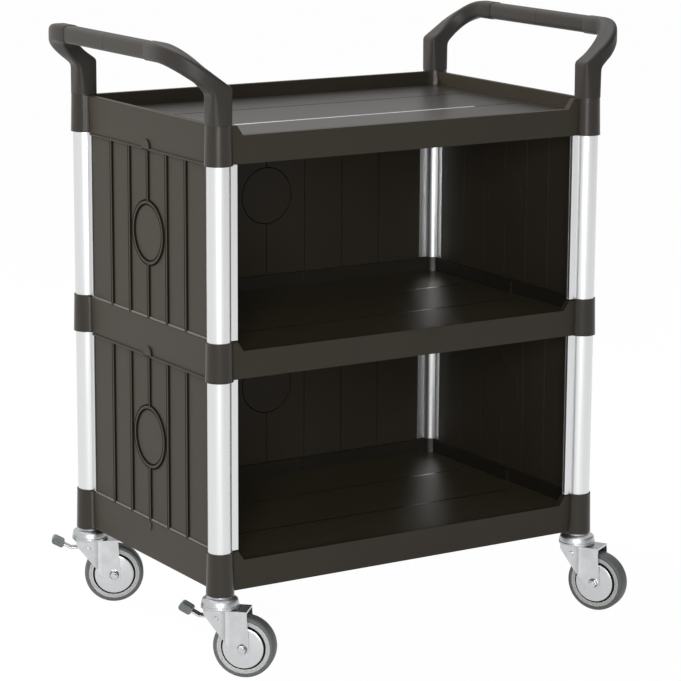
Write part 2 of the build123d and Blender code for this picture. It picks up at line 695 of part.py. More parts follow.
def strip_face(points, thickness):
    """A band of even thickness along a run of points."""
    face = None
    for start, stop in zip(points, points[1:]):
        length = math.dist(start, stop)
        angle = math.degrees(math.atan2(stop[1] - start[1], stop[0] - start[0]))
        middle = ((start[0] + stop[0]) / 2, (start[1] + stop[1]) / 2)
        piece = Pos(*middle) * Rot(0, 0, angle) * SlotCenterToCenter(length, thickness)
        face = piece if face is None else face + piece
    return face


def brake_lever():
    """Pedal strip with its hub and the shoe that turns against the tread."""
    to_axle = math.dist((PIVOT_X, PIVOT_Z), (WHEEL_TRAIL, WHEEL_R))
    shoe_reach = to_axle - WHEEL_R - BRAKE_GAP
    aim = math.degrees(math.atan2(WHEEL_R - PIVOT_Z, WHEEL_TRAIL - PIVOT_X)) - BRAKE_ANGLE
    shoe = Pos(shoe_reach / 2, 0) * Rectangle(shoe_reach, 2 * SHOE_HALF_WIDTH)
    shoe = Rot(0, 0, aim) * (shoe & Circle(shoe_reach))
    pivot = Pos(PIVOT_X, PIVOT_Z)
    face = strip_face(lever_line(), LEVER_T) + pivot * Circle(LEVER_HUB_R) + pivot * shoe
    face = face - pivot * Circle(PIN_R + PIN_CLEAR)
    return side_prism(face, -LEVER_HALF_WIDTH, LEVER_HALF_WIDTH)


def brake_pad(lever):
    """Grey foot pad moulded over the end of the pedal strip."""
    start, stop = lever_line()[1:]
    angle = math.degrees(math.atan2(stop[1] - start[1], stop[0] - start[0]))
    middle = PAD_LENGTH / 2 - PAD_COVER
    pad = Pos(*stop) * Rot(0, 0, angle) * Pos(-middle, 0) * RectangleRounded(PAD_LENGTH, PAD_T, PAD_CORNER_R)
    return side_prism(pad, -PAD_WIDTH / 2, PAD_WIDTH / 2) - lever


def brake_pin():
    """Headed pin across the fork legs, that the pedal turns on."""
    leg_out = pin_reach()
    pin = rod(PIN_R, -leg_out, leg_out)
    pin = pin + rod(PIN_HEAD_R, leg_out, leg_out + PIN_HEAD_T)
    pin = pin + rod(PIN_HEAD_R, -leg_out - PIN_HEAD_T, -leg_out)
    return Pos(PIVOT_X, 0, PIVOT_Z) * Rot(90, 0, 0) * pin


def castor(corner):
    """Every moving piece of one castor, turned to its rest direction, by node name."""
    braked = corner in BRAKED_CORNERS
    pieces = {
        "fork": fork(braked),
        "swivel_balls": swivel_balls(),
        "axle_bolt": axle(),
        "axle_bush": axle_bush(),
        "thread_guards": thread_guards(),
        "wheel_rim": wheel_rim(),
        "tyre": tyre(),
    }
    if braked:
        lever = brake_lever()
        pieces["brake_lever"] = lever
        pieces["brake_pad"] = brake_pad(lever)
        pieces["brake_pin"] = brake_pin()
    sx, sy = CORNERS[corner]
    place = Pos(sx * HALF_X, sy * HALF_Y, 0) * Rot(0, 0, TRAIL_ANGLE[corner])
    nodes = {}
    for name, shape in pieces.items():
        if isinstance(shape, list):
            nodes[f"{corner}_{name}"] = [place * solid for solid in shape]
        else:
            nodes[f"{corner}_{name}"] = place * shape
    return nodes


def cart():
    """Every piece of the cart, by node name. A list is a group of separate solids."""
    nodes = {
        "top_shelf": top_shelf(),
        "middle_shelf": middle_shelf(),
        "bottom_shelf": bottom_shelf(),
    }
    for corner in CORNERS:
        nodes[f"lower_post_{corner}"] = post(corner, BOTTOM_RIM_Z)
        nodes[f"upper_post_{corner}"] = post(corner, MIDDLE_RIM_Z)
    nodes.update(panels())
    nodes.update(handles())
    nodes["castor_stems"] = at_posts(castor_stem())
    nodes["castor_heads"] = at_posts(castor_head())
    nodes["castor_nuts"] = [placed for solid in castor_nut() for placed in at_posts(solid)]
    for corner in CORNERS:
        nodes.update(castor(corner))
    return nodes


os.makedirs("parts", exist_ok=True)
for node, shape in cart().items():
    if isinstance(shape, list):
        shape = Compound(children=[solid for group in shape for solid in group.solids()])
    export_step(shape, f"parts/{node}.step")
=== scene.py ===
"""Looks of a three-tier service cart: moulded shelves, aluminium posts, ribbed panels and swivel castors.

Sizes of the cart are in millimetres, and become metres when a mesh is finished. The studio is in metres.
"""

import json
import logging
import math
from dataclasses import dataclass
from enum import Enum

import bmesh
import bpy
from mathutils import Matrix, Vector


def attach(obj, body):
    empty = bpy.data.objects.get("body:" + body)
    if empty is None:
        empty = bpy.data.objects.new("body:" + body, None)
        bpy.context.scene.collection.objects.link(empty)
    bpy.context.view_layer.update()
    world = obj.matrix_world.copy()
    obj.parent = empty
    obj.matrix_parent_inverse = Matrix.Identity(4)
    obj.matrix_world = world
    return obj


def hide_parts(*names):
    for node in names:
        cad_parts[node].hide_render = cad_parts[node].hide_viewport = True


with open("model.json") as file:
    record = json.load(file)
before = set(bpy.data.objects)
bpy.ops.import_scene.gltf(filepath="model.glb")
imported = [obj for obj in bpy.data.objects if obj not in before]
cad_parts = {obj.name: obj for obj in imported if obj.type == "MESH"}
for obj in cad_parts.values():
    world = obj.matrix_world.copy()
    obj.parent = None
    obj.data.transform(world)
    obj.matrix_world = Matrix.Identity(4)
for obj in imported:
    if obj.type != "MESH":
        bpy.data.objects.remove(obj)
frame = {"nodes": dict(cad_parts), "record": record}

LOG = logging.getLogger("service_cart")
MM = 0.001
UNWRAP_MM = 100.0
MERGE_MM = 0.001
NODE_MERGE_MM = 0.01
FLAT_DEG = 0.6
CORNER_REACH = 0.49
HALF_SPAN_X = 348.0
HALF_SPAN_Y = 225.0
CORNER_SIGNS = {
    "front_left": (-1, -1),
    "front_right": (1, -1),
    "rear_left": (-1, 1),
    "rear_right": (1, 1),
}
BRAKED_CORNERS = ("front_left", "rear_left")

Colour = tuple[float, float, float]


class Slot(Enum):
    """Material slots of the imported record."""

    BLACK_PLASTIC = "black_plastic"
    POST_ALUMINIUM = "post_aluminium"
    ZINC_STEEL = "zinc_steel"
    PLAIN_STEEL = "plain_steel"
    GUARD_GREY = "guard_grey"
    RIM_GREY = "rim_grey"
    TYRE_RUBBER = "tyre_rubber"
    PAD_GREY = "pad_grey"


class Tier(Enum):
    """The two bays between the shelves, with the height of each panel's foot in millimetres."""

    LOWER = 198.0
    UPPER = 534.0


class ShelfCoat(Enum):
    """Areas of a shelf with a finish of their own, by index among its materials."""

    SKIRT = 0
    FLOOR = 1
    COLLAR = 2
    LUG = 3
    RIDGE = 4
    INNER_WALL = 5


class Grain(Enum):
    """Marks that a metal's making leaves on it, and on pressed sheet a painted shade and a painted highlight
    at a crease.
    """

    DRAWN = "drawn"
    PLATED = "plated"
    TURNED = "turned"
    PRESSED = "pressed"


def new_group(name: str, inputs: dict[str, float]) -> bpy.types.NodeTree:
    """Start the shader node group of a surface effect.

    Args:
        name: Name of the group.
        inputs: Input names with their default values.

    Returns:
        The new node tree, with its input and output nodes placed.
    """
    tree = bpy.data.node_groups.new(name, "ShaderNodeTree")
    for label, value in inputs.items():
        socket = tree.interface.new_socket(label, in_out="INPUT", socket_type="NodeSocketFloat")
        socket.default_value = value
    for label in ("Mark", "Height"):
        tree.interface.new_socket(label, in_out="OUTPUT", socket_type="NodeSocketFloat")
    tree.nodes.new("NodeGroupInput").name = "in"
    tree.nodes.new("NodeGroupOutput").name = "out"
    return tree


def put(tree: bpy.types.NodeTree, kind: str, inputs: dict, **settings: object) -> bpy.types.Node:
    """Add a node, with its settings and its inputs.

    Args:
        tree: Node tree that gets the node.
        kind: Type name of the node.
        inputs: Sockets, lists of sockets or plain values, by input name or index.
        settings: Properties of the node.

    Returns:
        The new node.
    """
    node = tree.nodes.new(kind)
    for label, value in settings.items():
        setattr(node, label, value)
    for label, value in inputs.items():
        if isinstance(value, bpy.types.NodeSocket):
            tree.links.new(value, node.inputs[label])
        elif isinstance(value, list):
            for socket in value:
                tree.links.new(socket, node.inputs[label])
        else:
            node.inputs[label].default_value = value
    return node


def calc(tree: bpy.types.NodeTree, operation: str, *terms: object) -> bpy.types.NodeSocket:
    """Add a Math node.

    Args:
        tree: Node tree that gets the node.
        operation: Name of the Math operation.
        terms: Sockets or plain numbers, in order.

    Returns:
        The node's output socket.
    """
    return put(tree, "ShaderNodeMath", dict(enumerate(terms)), operation=operation).outputs[0]


def noise(tree: bpy.types.NodeTree, place: object, scale: object, detail: float) -> bpy.types.NodeSocket:
    """Add a Noise Texture node.

    Args:
        tree: Node tree that gets the node.
        place: Socket of the coordinates.
        scale: Socket or number for the scale.
        detail: Octaves of the noise.

    Returns:
        The noise's value.
    """
    return put(tree, "ShaderNodeTexNoise", {"Vector": place, "Scale": scale, "Detail": detail}).outputs["Fac"]


def close_group(tree: bpy.types.NodeTree, mark: bpy.types.NodeSocket, height: bpy.types.NodeSocket) -> None:
    """Link what a surface effect puts out.

    Args:
        tree: Node group of the effect.
        mark: Runs from 0 to 1 over the surface, for colour and gloss.
        height: Height for bump.
    """
    give = tree.nodes["out"]
    tree.links.new(mark, give.inputs["Mark"])
    tree.links.new(height, give.inputs["Height"])


class SurfaceEffects:
    """Shader node groups that several finishes share."""

    PRESSED_CLOUD = 0.4
    PRESSED_BASE = 0.32
    # The next two set the painted shade up to a pressed crease and the painted highlight past it.
    PRESSED_PAINTED_SHADE = 0.30
    PRESSED_PAINTED_HIGHLIGHT = 0.2

    def __init__(self) -> None:
        """Build each group once."""
        self.moulded = self.build_moulded()
        self.metal = {
            Grain.DRAWN: self.build_drawn(),
            Grain.PLATED: self.build_plated(),
            Grain.TURNED: self.build_turned(),
            Grain.PRESSED: self.build_pressed_with_crease_shade(),
        }

    @staticmethod
    def build_moulded() -> bpy.types.NodeTree:
        """Fine moulded grain: a height for bump and a slow cloud for colour and gloss.

        Returns:
            The node group.
        """
        tree = new_group("MouldedGrain", {"Grain Scale": 1800.0, "Cloud Scale": 9.0})
        take = tree.nodes["in"]
        place = put(tree, "ShaderNodeTexCoord", {}).outputs["Object"]
        fine = noise(tree, place, take.outputs["Grain Scale"], 2.0)
        cloud = noise(tree, place, take.outputs["Cloud Scale"], 3.0)
        close_group(tree, cloud, fine)
        return tree

    @staticmethod
    def build_drawn() -> bpy.types.NodeTree:
        """Lengthwise drawing lines, running along Z.

        Returns:
            The node group.
        """
        tree = new_group("DrawnLines", {"Scale": 900.0, "Run": 0.01})
        take = tree.nodes["in"]
        place = put(tree, "ShaderNodeTexCoord", {}).outputs["Object"]
        parts = put(tree, "ShaderNodeSeparateXYZ", {0: place})
        slow = calc(tree, "MULTIPLY", parts.outputs["Z"], take.outputs["Run"])
        along = {"X": parts.outputs["X"], "Y": parts.outputs["Y"], "Z": slow}
        drawn = put(tree, "ShaderNodeCombineXYZ", along).outputs[0]
        lines = noise(tree, drawn, take.outputs["Scale"], 4.0)
        close_group(tree, lines, lines)
        return tree

    @staticmethod
    def build_plated() -> bpy.types.NodeTree:
        """Soft clouds and a fine tooth, as on plated sheet.

        Returns:
            The node group.
        """
        tree = new_group("PlatedClouds", {"Scale": 60.0, "Tooth": 30.0})
        take = tree.nodes["in"]
        place = put(tree, "ShaderNodeTexCoord", {}).outputs["Object"]
        scale = take.outputs["Scale"]
        tooth_scale = calc(tree, "MULTIPLY", scale, take.outputs["Tooth"])
        close_group(tree, noise(tree, place, scale, 3.0), noise(tree, place, tooth_scale, 2.0))
        return tree

    @staticmethod
    def build_turned() -> bpy.types.NodeTree:
        """Fine rings about the axis of a turned piece, from its own unwrapping.

        Returns:
            The node group.
        """
        tree = new_group("TurnedRings", {"Scale": 40.0, "Run": 0.4})
        take = tree.nodes["in"]
        place = put(tree, "ShaderNodeTexCoord", {}).outputs["UV"]
        parts = put(tree, "ShaderNodeSeparateXYZ", {0: place})
        slow = calc(tree, "MULTIPLY", parts.outputs["X"], take.outputs["Run"])
        around = put(tree, "ShaderNodeCombineXYZ", {"X": slow, "Y": parts.outputs["Y"]}).outputs[0]
        rings = noise(tree, around, take.outputs["Scale"], 3.0)
        close_group(tree, rings, rings)
        return tree

    def build_pressed_with_crease_shade(self) -> bpy.types.NodeTree:
        """Plated clouds, with painted shade in a run up to a crease and a painted highlight in one past it,
        from the piece's unwrapping.

        Returns:
            The node group.
        """
        tree = new_group("PressedCrease", {"Scale": 60.0, "Crease": 0.13, "Reach": 0.08})
        take = tree.nodes["in"]
        where = put(tree, "ShaderNodeTexCoord", {})
        along = put(tree, "ShaderNodeSeparateXYZ", {0: where.outputs["UV"]}).outputs["X"]
        crease, reach = take.outputs["Crease"], take.outputs["Reach"]
        start = calc(tree, "SUBTRACT", crease, reach)
        stop = calc(tree, "ADD", crease, reach)
        rise = put(tree, "ShaderNodeMapRange", {"Value": along, "From Min": start, "From Max": crease})
        fade = put(tree, "ShaderNodeMapRange", {"Value": along, "From Min": stop, "From Max": crease})
        past = calc(tree, "GREATER_THAN", along, crease)
        # Painted shade up to the crease and a painted highlight past it, over the plated clouds.
        dark = calc(tree, "SUBTRACT", rise.outputs["Result"], past)
        light = calc(tree, "MULTIPLY", fade.outputs["Result"], past)
        cloud = noise(tree, where.outputs["Object"], take.outputs["Scale"], 3.0)
        mark = calc(tree, "MULTIPLY_ADD", cloud, self.PRESSED_CLOUD, self.PRESSED_BASE)
        mark = calc(tree, "SUBTRACT", mark, calc(tree, "MULTIPLY", dark, self.PRESSED_PAINTED_SHADE))
        mark = calc(tree, "ADD", mark, calc(tree, "MULTIPLY", light, self.PRESSED_PAINTED_HIGHLIGHT))
        close_group(tree, mark, cloud)
        return tree


def dressed_shader(
    name: str,
    group: bpy.types.NodeTree,
    scales: dict[str, float],
    colours: tuple[Colour, Colour],
    roughness: tuple[float, float],
    depth: float,
) -> bpy.types.Material:
    """A Principled material whose colour, gloss and bump follow one of the shared effects.

    Args:
        name: Name of the material.
        group: Effect with the outputs Mark and Height.
        scales: Values for the effect's inputs.
        colours: Base colour at the low and the high end of the mark.
        roughness: Roughness at the low and the high end of the mark.
        depth: Height of the bump in metres.

    Returns:
        The material.
    """
    made = bpy.data.materials.new(name)
    made.use_nodes = True
    tree = made.node_tree
    shader = tree.nodes["Principled BSDF"]
    effect = put(tree, "ShaderNodeGroup", {}, node_tree=group)
    for label, value in scales.items():
        effect.inputs[label].default_value = value
    mark = effect.outputs["Mark"]
    tint = put(
        tree,
        "ShaderNodeMix",
        {"Factor": mark, "A": (*colours[0], 1.0), "B": (*colours[1], 1.0)},
        data_type="RGBA",
    )
    gloss = put(tree, "ShaderNodeMapRange", {"Value": mark, "To Min": roughness[0], "To Max": roughness[1]})
    bump = put(tree, "ShaderNodeBump", {"Height": effect.outputs["Height"], "Distance": depth})
    tree.links.new(tint.outputs["Result"], shader.inputs["Base Color"])
    tree.links.new(gloss.outputs["Result"], shader.inputs["Roughness"])
    tree.links.new(bump.outputs["Normal"], shader.inputs["Normal"])
    return made


@dataclass(frozen=True)
class PlasticFinish:
    """Moulded plastic or rubber with a fine grain."""

    name: str
    low: Colour
    high: Colour
    roughness: tuple[float, float]
    grain_scale: float
    grain_depth: float
    specular: float = 0.5

    def material(self, effects: SurfaceEffects) -> bpy.types.Material:
        """Build the material.

        Args:
            effects: Shared node groups.

        Returns:
            The material.
        """
        scales = {"Grain Scale": self.grain_scale}
        made = dressed_shader(
            self.name, effects.moulded, scales, (self.low, self.high), self.roughness, self.grain_depth
        )
        made.node_tree.nodes["Principled BSDF"].inputs["Specular IOR Level"].default_value = self.specular
        return made


@dataclass(frozen=True)
class MetalFinish:
    """Bare or plated metal with the marks of its making; the pressed fork's finish also has painted shade and
    a painted highlight at its crease.
    """

    name: str
    low: Colour
    high: Colour
    roughness: tuple[float, float]
    grain: Grain
    scale: float
    depth: float
    metallic: float = 1.0

    def material(self, effects: SurfaceEffects) -> bpy.types.Material:
        """Build the material.

        Args:
            effects: Shared node groups.

        Returns:
            The material.
        """
        group = effects.metal[self.grain]
        made = dressed_shader(
            self.name, group, {"Scale": self.scale}, (self.low, self.high), self.roughness, self.depth
        )
        made.node_tree.nodes["Principled BSDF"].inputs["Metallic"].default_value = self.metallic
        return made


class Finishes:
    """Every material of the cart, by record slot."""

    BY_SLOT = {
        Slot.BLACK_PLASTIC: PlasticFinish(
            "charcoal_moulding", (0.0245, 0.0199, 0.0140), (0.0315, 0.0259, 0.0185),
            roughness=(0.38, 0.47), grain_scale=1500.0, grain_depth=0.00005, specular=0.18,
        ),
        Slot.POST_ALUMINIUM: MetalFinish(
            "satin_aluminium", (0.70, 0.705, 0.71), (0.78, 0.785, 0.79),
            roughness=(0.26, 0.36), grain=Grain.DRAWN, scale=700.0, depth=0.000004,
        ),
        Slot.ZINC_STEEL: MetalFinish(
            "zinc_plate", (0.55, 0.565, 0.575), (0.62, 0.635, 0.645),
            roughness=(0.18, 0.27), grain=Grain.PLATED, scale=60.0, depth=0.00001,
        ),
        Slot.PLAIN_STEEL: MetalFinish(
            "plain_steel", (0.42, 0.42, 0.43), (0.55, 0.55, 0.56),
            roughness=(0.25, 0.35), grain=Grain.PLATED, scale=90.0, depth=0.00001,
        ),
        Slot.GUARD_GREY: MetalFinish(
            "guard_disc", (0.50, 0.515, 0.53), (0.62, 0.63, 0.64),
            roughness=(0.26, 0.38), grain=Grain.TURNED, scale=260.0, depth=0.00001, metallic=0.85,
        ),
        Slot.RIM_GREY: PlasticFinish(
            "rim_grey", (0.42, 0.42, 0.41), (0.48, 0.48, 0.47),
            roughness=(0.36, 0.46), grain_scale=900.0, grain_depth=0.00003,
        ),
        Slot.TYRE_RUBBER: PlasticFinish(
            "tyre_rubber", (0.078, 0.081, 0.084), (0.102, 0.106, 0.110),
            roughness=(0.46, 0.58), grain_scale=1200.0, grain_depth=0.00006,
        ),
        Slot.PAD_GREY: PlasticFinish(
            "pedal_grey", (0.095, 0.104, 0.106), (0.130, 0.140, 0.142),
            roughness=(0.36, 0.46), grain_scale=1200.0, grain_depth=0.00006,
        ),
    }
    # The fork's finish paints shade up to its crease and a highlight past it.
    FORK_CREASE_SHADED = MetalFinish(
        "zinc_pressing", (0.30, 0.31, 0.32), (0.85, 0.86, 0.865),
        roughness=(0.19, 0.28), grain=Grain.PRESSED, scale=60.0, depth=0.00001,
    )
    # Near-black finish inside the rim round the guard: painted shade in the recess.
    RECESS_PAINTED_SHADE = PlasticFinish(
        "rim_recess", (0.010, 0.010, 0.010), (0.016, 0.016, 0.016),
        roughness=(0.50, 0.60), grain_scale=900.0, grain_depth=0.00003, specular=0.2,
    )
    # Also the darker finish of the lower shelves' inner walls, where it is painted shade.
    FLOOR = PlasticFinish(
        "charcoal_floor", (0.0125, 0.0105, 0.0080), (0.0165, 0.0140, 0.0105),
        roughness=(0.30, 0.36), grain_scale=1500.0, grain_depth=0.00002,
    )
    # Lighter copy of the floor finish for the floors under a shelf: painted light.
    FLOOR_PAINTED_LIGHT = PlasticFinish(
        "charcoal_shelf_floor", (0.0500, 0.0420, 0.0260), (0.0620, 0.0520, 0.0330),
        roughness=(0.36, 0.42), grain_scale=1500.0, grain_depth=0.00002, specular=0.12,
    )
    COLLAR = PlasticFinish(
        "charcoal_collar", (0.0215, 0.0180, 0.0135), (0.0275, 0.0232, 0.0178),
        roughness=(0.22, 0.29), grain_scale=1500.0, grain_depth=0.00002, specular=0.32,
    )
    # Pale finish of the shelves' lugs and the panels' foot beads: a painted highlight.
    LUG = PlasticFinish(
        "charcoal_lug", (0.0700, 0.0660, 0.0600), (0.0900, 0.0850, 0.0780),
        roughness=(0.30, 0.38), grain_scale=1500.0, grain_depth=0.00002,
    )
    # Pale metal on the black plastic floor's ridges: a painted glint.
    RIDGE = MetalFinish(
        "ridge_gloss", (0.36, 0.35, 0.345), (0.44, 0.43, 0.425),
        roughness=(0.14, 0.20), grain=Grain.PLATED, scale=60.0, depth=0.000005,
    )
    HANDLE = PlasticFinish(
        "charcoal_handle", (0.0285, 0.0255, 0.0225), (0.0360, 0.0325, 0.0290),
        roughness=(0.38, 0.47), grain_scale=1500.0, grain_depth=0.00005, specular=0.2,
    )
    # Near-black finish of the strips at the feet of the panels' ribs and ring: painted shadow lines.
    RIB_SHADOW = PlasticFinish(
        "charcoal_seam", (0.0080, 0.0066, 0.0045), (0.0120, 0.0100, 0.0070),
        roughness=(0.70, 0.80), grain_scale=1500.0, grain_depth=0.00005, specular=0.0,
    )
    HEAD = MetalFinish(
        "zinc_cup", (0.46, 0.475, 0.485), (0.56, 0.575, 0.585),
        roughness=(0.31, 0.40), grain=Grain.PLATED, scale=60.0, depth=0.00001,
    )
    # Dark finish of the flanges round the axle nut and bolt head: painted shade.
    FLANGE_PAINTED_SHADE = MetalFinish(
        "zinc_washer", (0.10, 0.105, 0.11), (0.20, 0.205, 0.21),
        roughness=(0.28, 0.36), grain=Grain.PLATED, scale=90.0, depth=0.00001,
    )

    def __init__(self) -> None:
        """Build the shared effects and each material."""
        effects = SurfaceEffects()
        self.by_slot = {slot: finish.material(effects) for slot, finish in self.BY_SLOT.items()}
        self.floor = self.FLOOR.material(effects)
        self.floor_painted_light = self.FLOOR_PAINTED_LIGHT.material(effects)
        self.collar = self.COLLAR.material(effects)
        self.lug = self.LUG.material(effects)
        self.ridge = self.RIDGE.material(effects)
        self.handle = self.HANDLE.material(effects)
        self.seam = self.RIB_SHADOW.material(effects)
        self.head = self.HEAD.material(effects)
        self.flange_shade = self.FLANGE_PAINTED_SHADE.material(effects)
        self.fork = self.FORK_CREASE_SHADED.material(effects)
        self.recess_shade = self.RECESS_PAINTED_SHADE.material(effects)

    @staticmethod
    def dress(piece: bpy.types.Object, *materials: bpy.types.Material) -> None:
        """Give a piece its materials and no others.

        Args:
            piece: Piece or kept node.
            materials: Materials, in the order of the faces' indexes.
        """
        indexes = [face.material_index for face in piece.data.polygons]
        piece.data.materials.clear()
        for material in materials:
            piece.data.materials.append(material)
        piece.data.polygons.foreach_set("material_index", indexes)


class Workshop:
    """Turns meshes into finished pieces that stand for the frame's nodes."""

    def __init__(self, finishes: Finishes) -> None:
        """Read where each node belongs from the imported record.

        Args:
            finishes: Every material of the cart.
        """
        record = frame["record"]
        self.finishes = finishes
        self.slot_of = {part["node"]: Slot(part["material_slot"]) for part in record["subparts"]}
        bodies = record["behaviour"]["bodies"]
        self.body_of = {node: body for body, nodes in bodies.items() for node in nodes}
        self.done: set[str] = set()

    def deliver(self, mesh: bpy.types.Mesh, node: str, *materials: bpy.types.Material) -> None:
        """Stand a finished mesh in a node's place.

        Args:
            mesh: Mesh in metres, in the frame's place.
            node: Node that the piece stands for.
            materials: Its materials in the order of the faces' indexes, or none for its slot's own.
        """
        piece = bpy.data.objects.new(f"{node}_piece", mesh)
        bpy.context.scene.collection.objects.link(piece)
        self.finishes.dress(piece, *(materials or (self.finishes.by_slot[self.slot_of[node]],)))
        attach(piece, self.body_of[node])
        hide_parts(node)
        self.done.add(node)
        LOG.info("made %s, %d faces", piece.name, len(mesh.polygons))

    def dress_rest(self) -> None:
        """Give every node that is kept as it is the finish of its slot."""
        for name, node in frame["nodes"].items():
            if name not in self.done:
                self.finishes.dress(node, self.finishes.by_slot[self.slot_of[name]])
                LOG.info("dressed %s", name)


def evaluated(mesh: bpy.types.Mesh, modifiers: dict[str, dict[str, object]]) -> bpy.types.Mesh:
    """Run modifiers over a mesh.

    Args:
        mesh: Mesh to start from.
        modifiers: Settings by modifier type, in order.

    Returns:
        A plain mesh with the result.
    """
    bench = bpy.data.objects.new("bench", mesh)
    bpy.context.scene.collection.objects.link(bench)
    for kind, settings in modifiers.items():
        modifier = bench.modifiers.new(kind.lower(), kind)
        for label, value in settings.items():
            setattr(modifier, label, value)
    made = bpy.data.meshes.new_from_object(bench.evaluated_get(bpy.context.evaluated_depsgraph_get()))
    bpy.data.objects.remove(bench)
    return made


@dataclass(frozen=True)
class BrokenEdge:
    """How the edges of a moulded or pressed piece are rounded."""

    width: float
    segments: int = 2
    angle_deg: float = 33.0

    def soften(self, mesh: bpy.types.Mesh) -> bpy.types.Mesh:
        """Round the edges of a mesh and shade it smoothly.

        Args:
            mesh: Mesh in metres.

        Returns:
            The rounded mesh.
        """
        mesh.shade_smooth()
        bevel = {
            "width": self.width * MM,
            "segments": self.segments,
            "limit_method": "ANGLE",
            "angle_limit": math.radians(self.angle_deg),
            "use_clamp_overlap": True,
        }
        return evaluated(mesh, {"BEVEL": bevel, "WEIGHTED_NORMAL": {"weight": 80, "keep_sharp": True}})

    def soften_node(self, node: str) -> bpy.types.Mesh:
        """A copy of a node's mesh, merged and with rounded edges.

        Args:
            node: Name of the node.

        Returns:
            The new mesh.
        """
        grid = bmesh.new()
        grid.from_mesh(frame["nodes"][node].data)
        bmesh.ops.remove_doubles(grid, verts=grid.verts, dist=NODE_MERGE_MM * MM)
        bmesh.ops.dissolve_limit(grid, angle_limit=math.radians(FLAT_DEG), verts=grid.verts, edges=grid.edges)
        mesh = bpy.data.meshes.new(f"{node}_soft")
        grid.to_mesh(mesh)
        grid.free()
        return self.soften(mesh)


def round_corners(corners: list[tuple[float, float, float]], steps: int) -> list[tuple[float, float]]:
    """Round the corners of a closed outline.

    Args:
        corners: Corner points with the radius of each.
        steps: Points along each rounded corner.

    Returns:
        The points of the rounded outline.
    """
    line: list[tuple[float, float]] = []
    for index, (x, y, radius) in enumerate(corners):
        here = Vector((x, y))
        if radius <= 0.0:
            line.append((x, y))
            continue
        before = Vector(corners[index - 1][:2]) - here
        after = Vector(corners[(index + 1) % len(corners)][:2]) - here
        half = before.angle(after) / 2.0
        run = min(radius / math.tan(half), CORNER_REACH * before.length, CORNER_REACH * after.length)
        start = here + before.normalized() * run
        stop = here + after.normalized() * run
        for step in range(steps + 1):
            share = step / steps
            bend = start * (1 - share) ** 2 + here * (2 * share * (1 - share)) + stop * share**2
            line.append((bend.x, bend.y))
    return line


def rounded_box_line(width: float, depth: float, radius: float, steps: int) -> list[tuple[float, float]]:
    """A rectangle about the origin with rounded corners."""
    x, y = width / 2, depth / 2
    return round_corners([(x, y, radius), (-x, y, radius), (-x, -y, radius), (x, -y, radius)], steps)


def lathe(line: list[tuple[float, float]], steps: int, grid: bmesh.types.BMesh) -> None:
    """Turn a closed outline of radius and height about Z, with an unwrapping along and around it.

    Args:
        line: Points of the outline.
        steps: Facets around the axis.
        grid: Mesh that gets the faces.
    """
    layer = grid.loops.layers.uv.verify()
    rings = []
    for step in range(steps):
        angle = 2 * math.pi * step / steps
        rings.append([grid.verts.new((r * math.cos(angle), r * math.sin(angle), z)) for r, z in line])
    along = [0.0]
    for (r0, z0), (r1, z1) in zip(line, line[1:] + line[:1]):
        along.append(along[-1] + math.hypot(r1 - r0, z1 - z0) / UNWRAP_MM)
    for step in range(steps):
        this, following = rings[step], rings[(step + 1) % steps]
        for index in range(len(line)):
            after = (index + 1) % len(line)
            face = grid.faces.new((this[index], following[index], following[after], this[after]))
            marks = ((step, index), (step + 1, index), (step + 1, index + 1), (step, index + 1))
            for loop, (around, up) in zip(face.loops, marks):
                loop[layer].uv = (around / steps, along[up])


def prism(grid: bmesh.types.BMesh, points: list[tuple[float, float, float]], along: Vector) -> None:
    """Add a closed bar with flat ends.

    Args:
        grid: Mesh that gets the faces.
        points: Outline of one end.
        along: From that end to the other.
    """
    start = [grid.verts.new(point) for point in points]
    stop = [grid.verts.new(Vector(point) + along) for point in points]
    grid.faces.new(start)
    grid.faces.new(list(reversed(stop)))
    for index in range(len(points)):
        after = (index + 1) % len(points)
        grid.faces.new((start[after], start[index], stop[index], stop[after]))


def merge_into(grid: bmesh.types.BMesh, extra: bmesh.types.BMesh, place: Matrix) -> None:
    """Move one mesh into another's place and add it.

    Args:
        grid: Mesh that grows.
        extra: Mesh to add; it is freed.
        place: Where it goes.
    """
    bmesh.ops.remove_doubles(extra, verts=extra.verts, dist=MERGE_MM)
    bmesh.ops.recalc_face_normals(extra, faces=extra.faces)
    bmesh.ops.transform(extra, matrix=place, verts=extra.verts)
    carrier = bpy.data.meshes.new("carrier")
    extra.to_mesh(carrier)
    extra.free()
    grid.from_mesh(carrier)
    bpy.data.meshes.remove(carrier)


def finished_mesh(
    name: str, grid: bmesh.types.BMesh, place: Matrix, sharp_deg: float, weighted: bool = True
) -> bpy.types.Mesh:
    """Close, place and shade a mesh that was built in millimetres.

    Args:
        name: Name of the mesh.
        grid: Mesh in millimetres; it is freed.
        place: Where it goes, in millimetres.
        sharp_deg: Edges steeper than this stay sharp.
        weighted: Whether large faces lead the shading.

    Returns:
        The mesh in metres.
    """
    bmesh.ops.remove_doubles(grid, verts=grid.verts, dist=MERGE_MM)
    bmesh.ops.transform(grid, matrix=place, verts=grid.verts)
    bmesh.ops.recalc_face_normals(grid, faces=grid.faces)
    mesh = bpy.data.meshes.new(name)
    grid.to_mesh(mesh)
    grid.free()
    mesh.transform(Matrix.Scale(MM, 4))
    mesh.shade_smooth()
    mesh.set_sharp_from_angle(angle=math.radians(sharp_deg))
    if weighted:
        mesh = evaluated(mesh, {"WEIGHTED_NORMAL": {"weight": 60, "keep_sharp": True}})
    return mesh


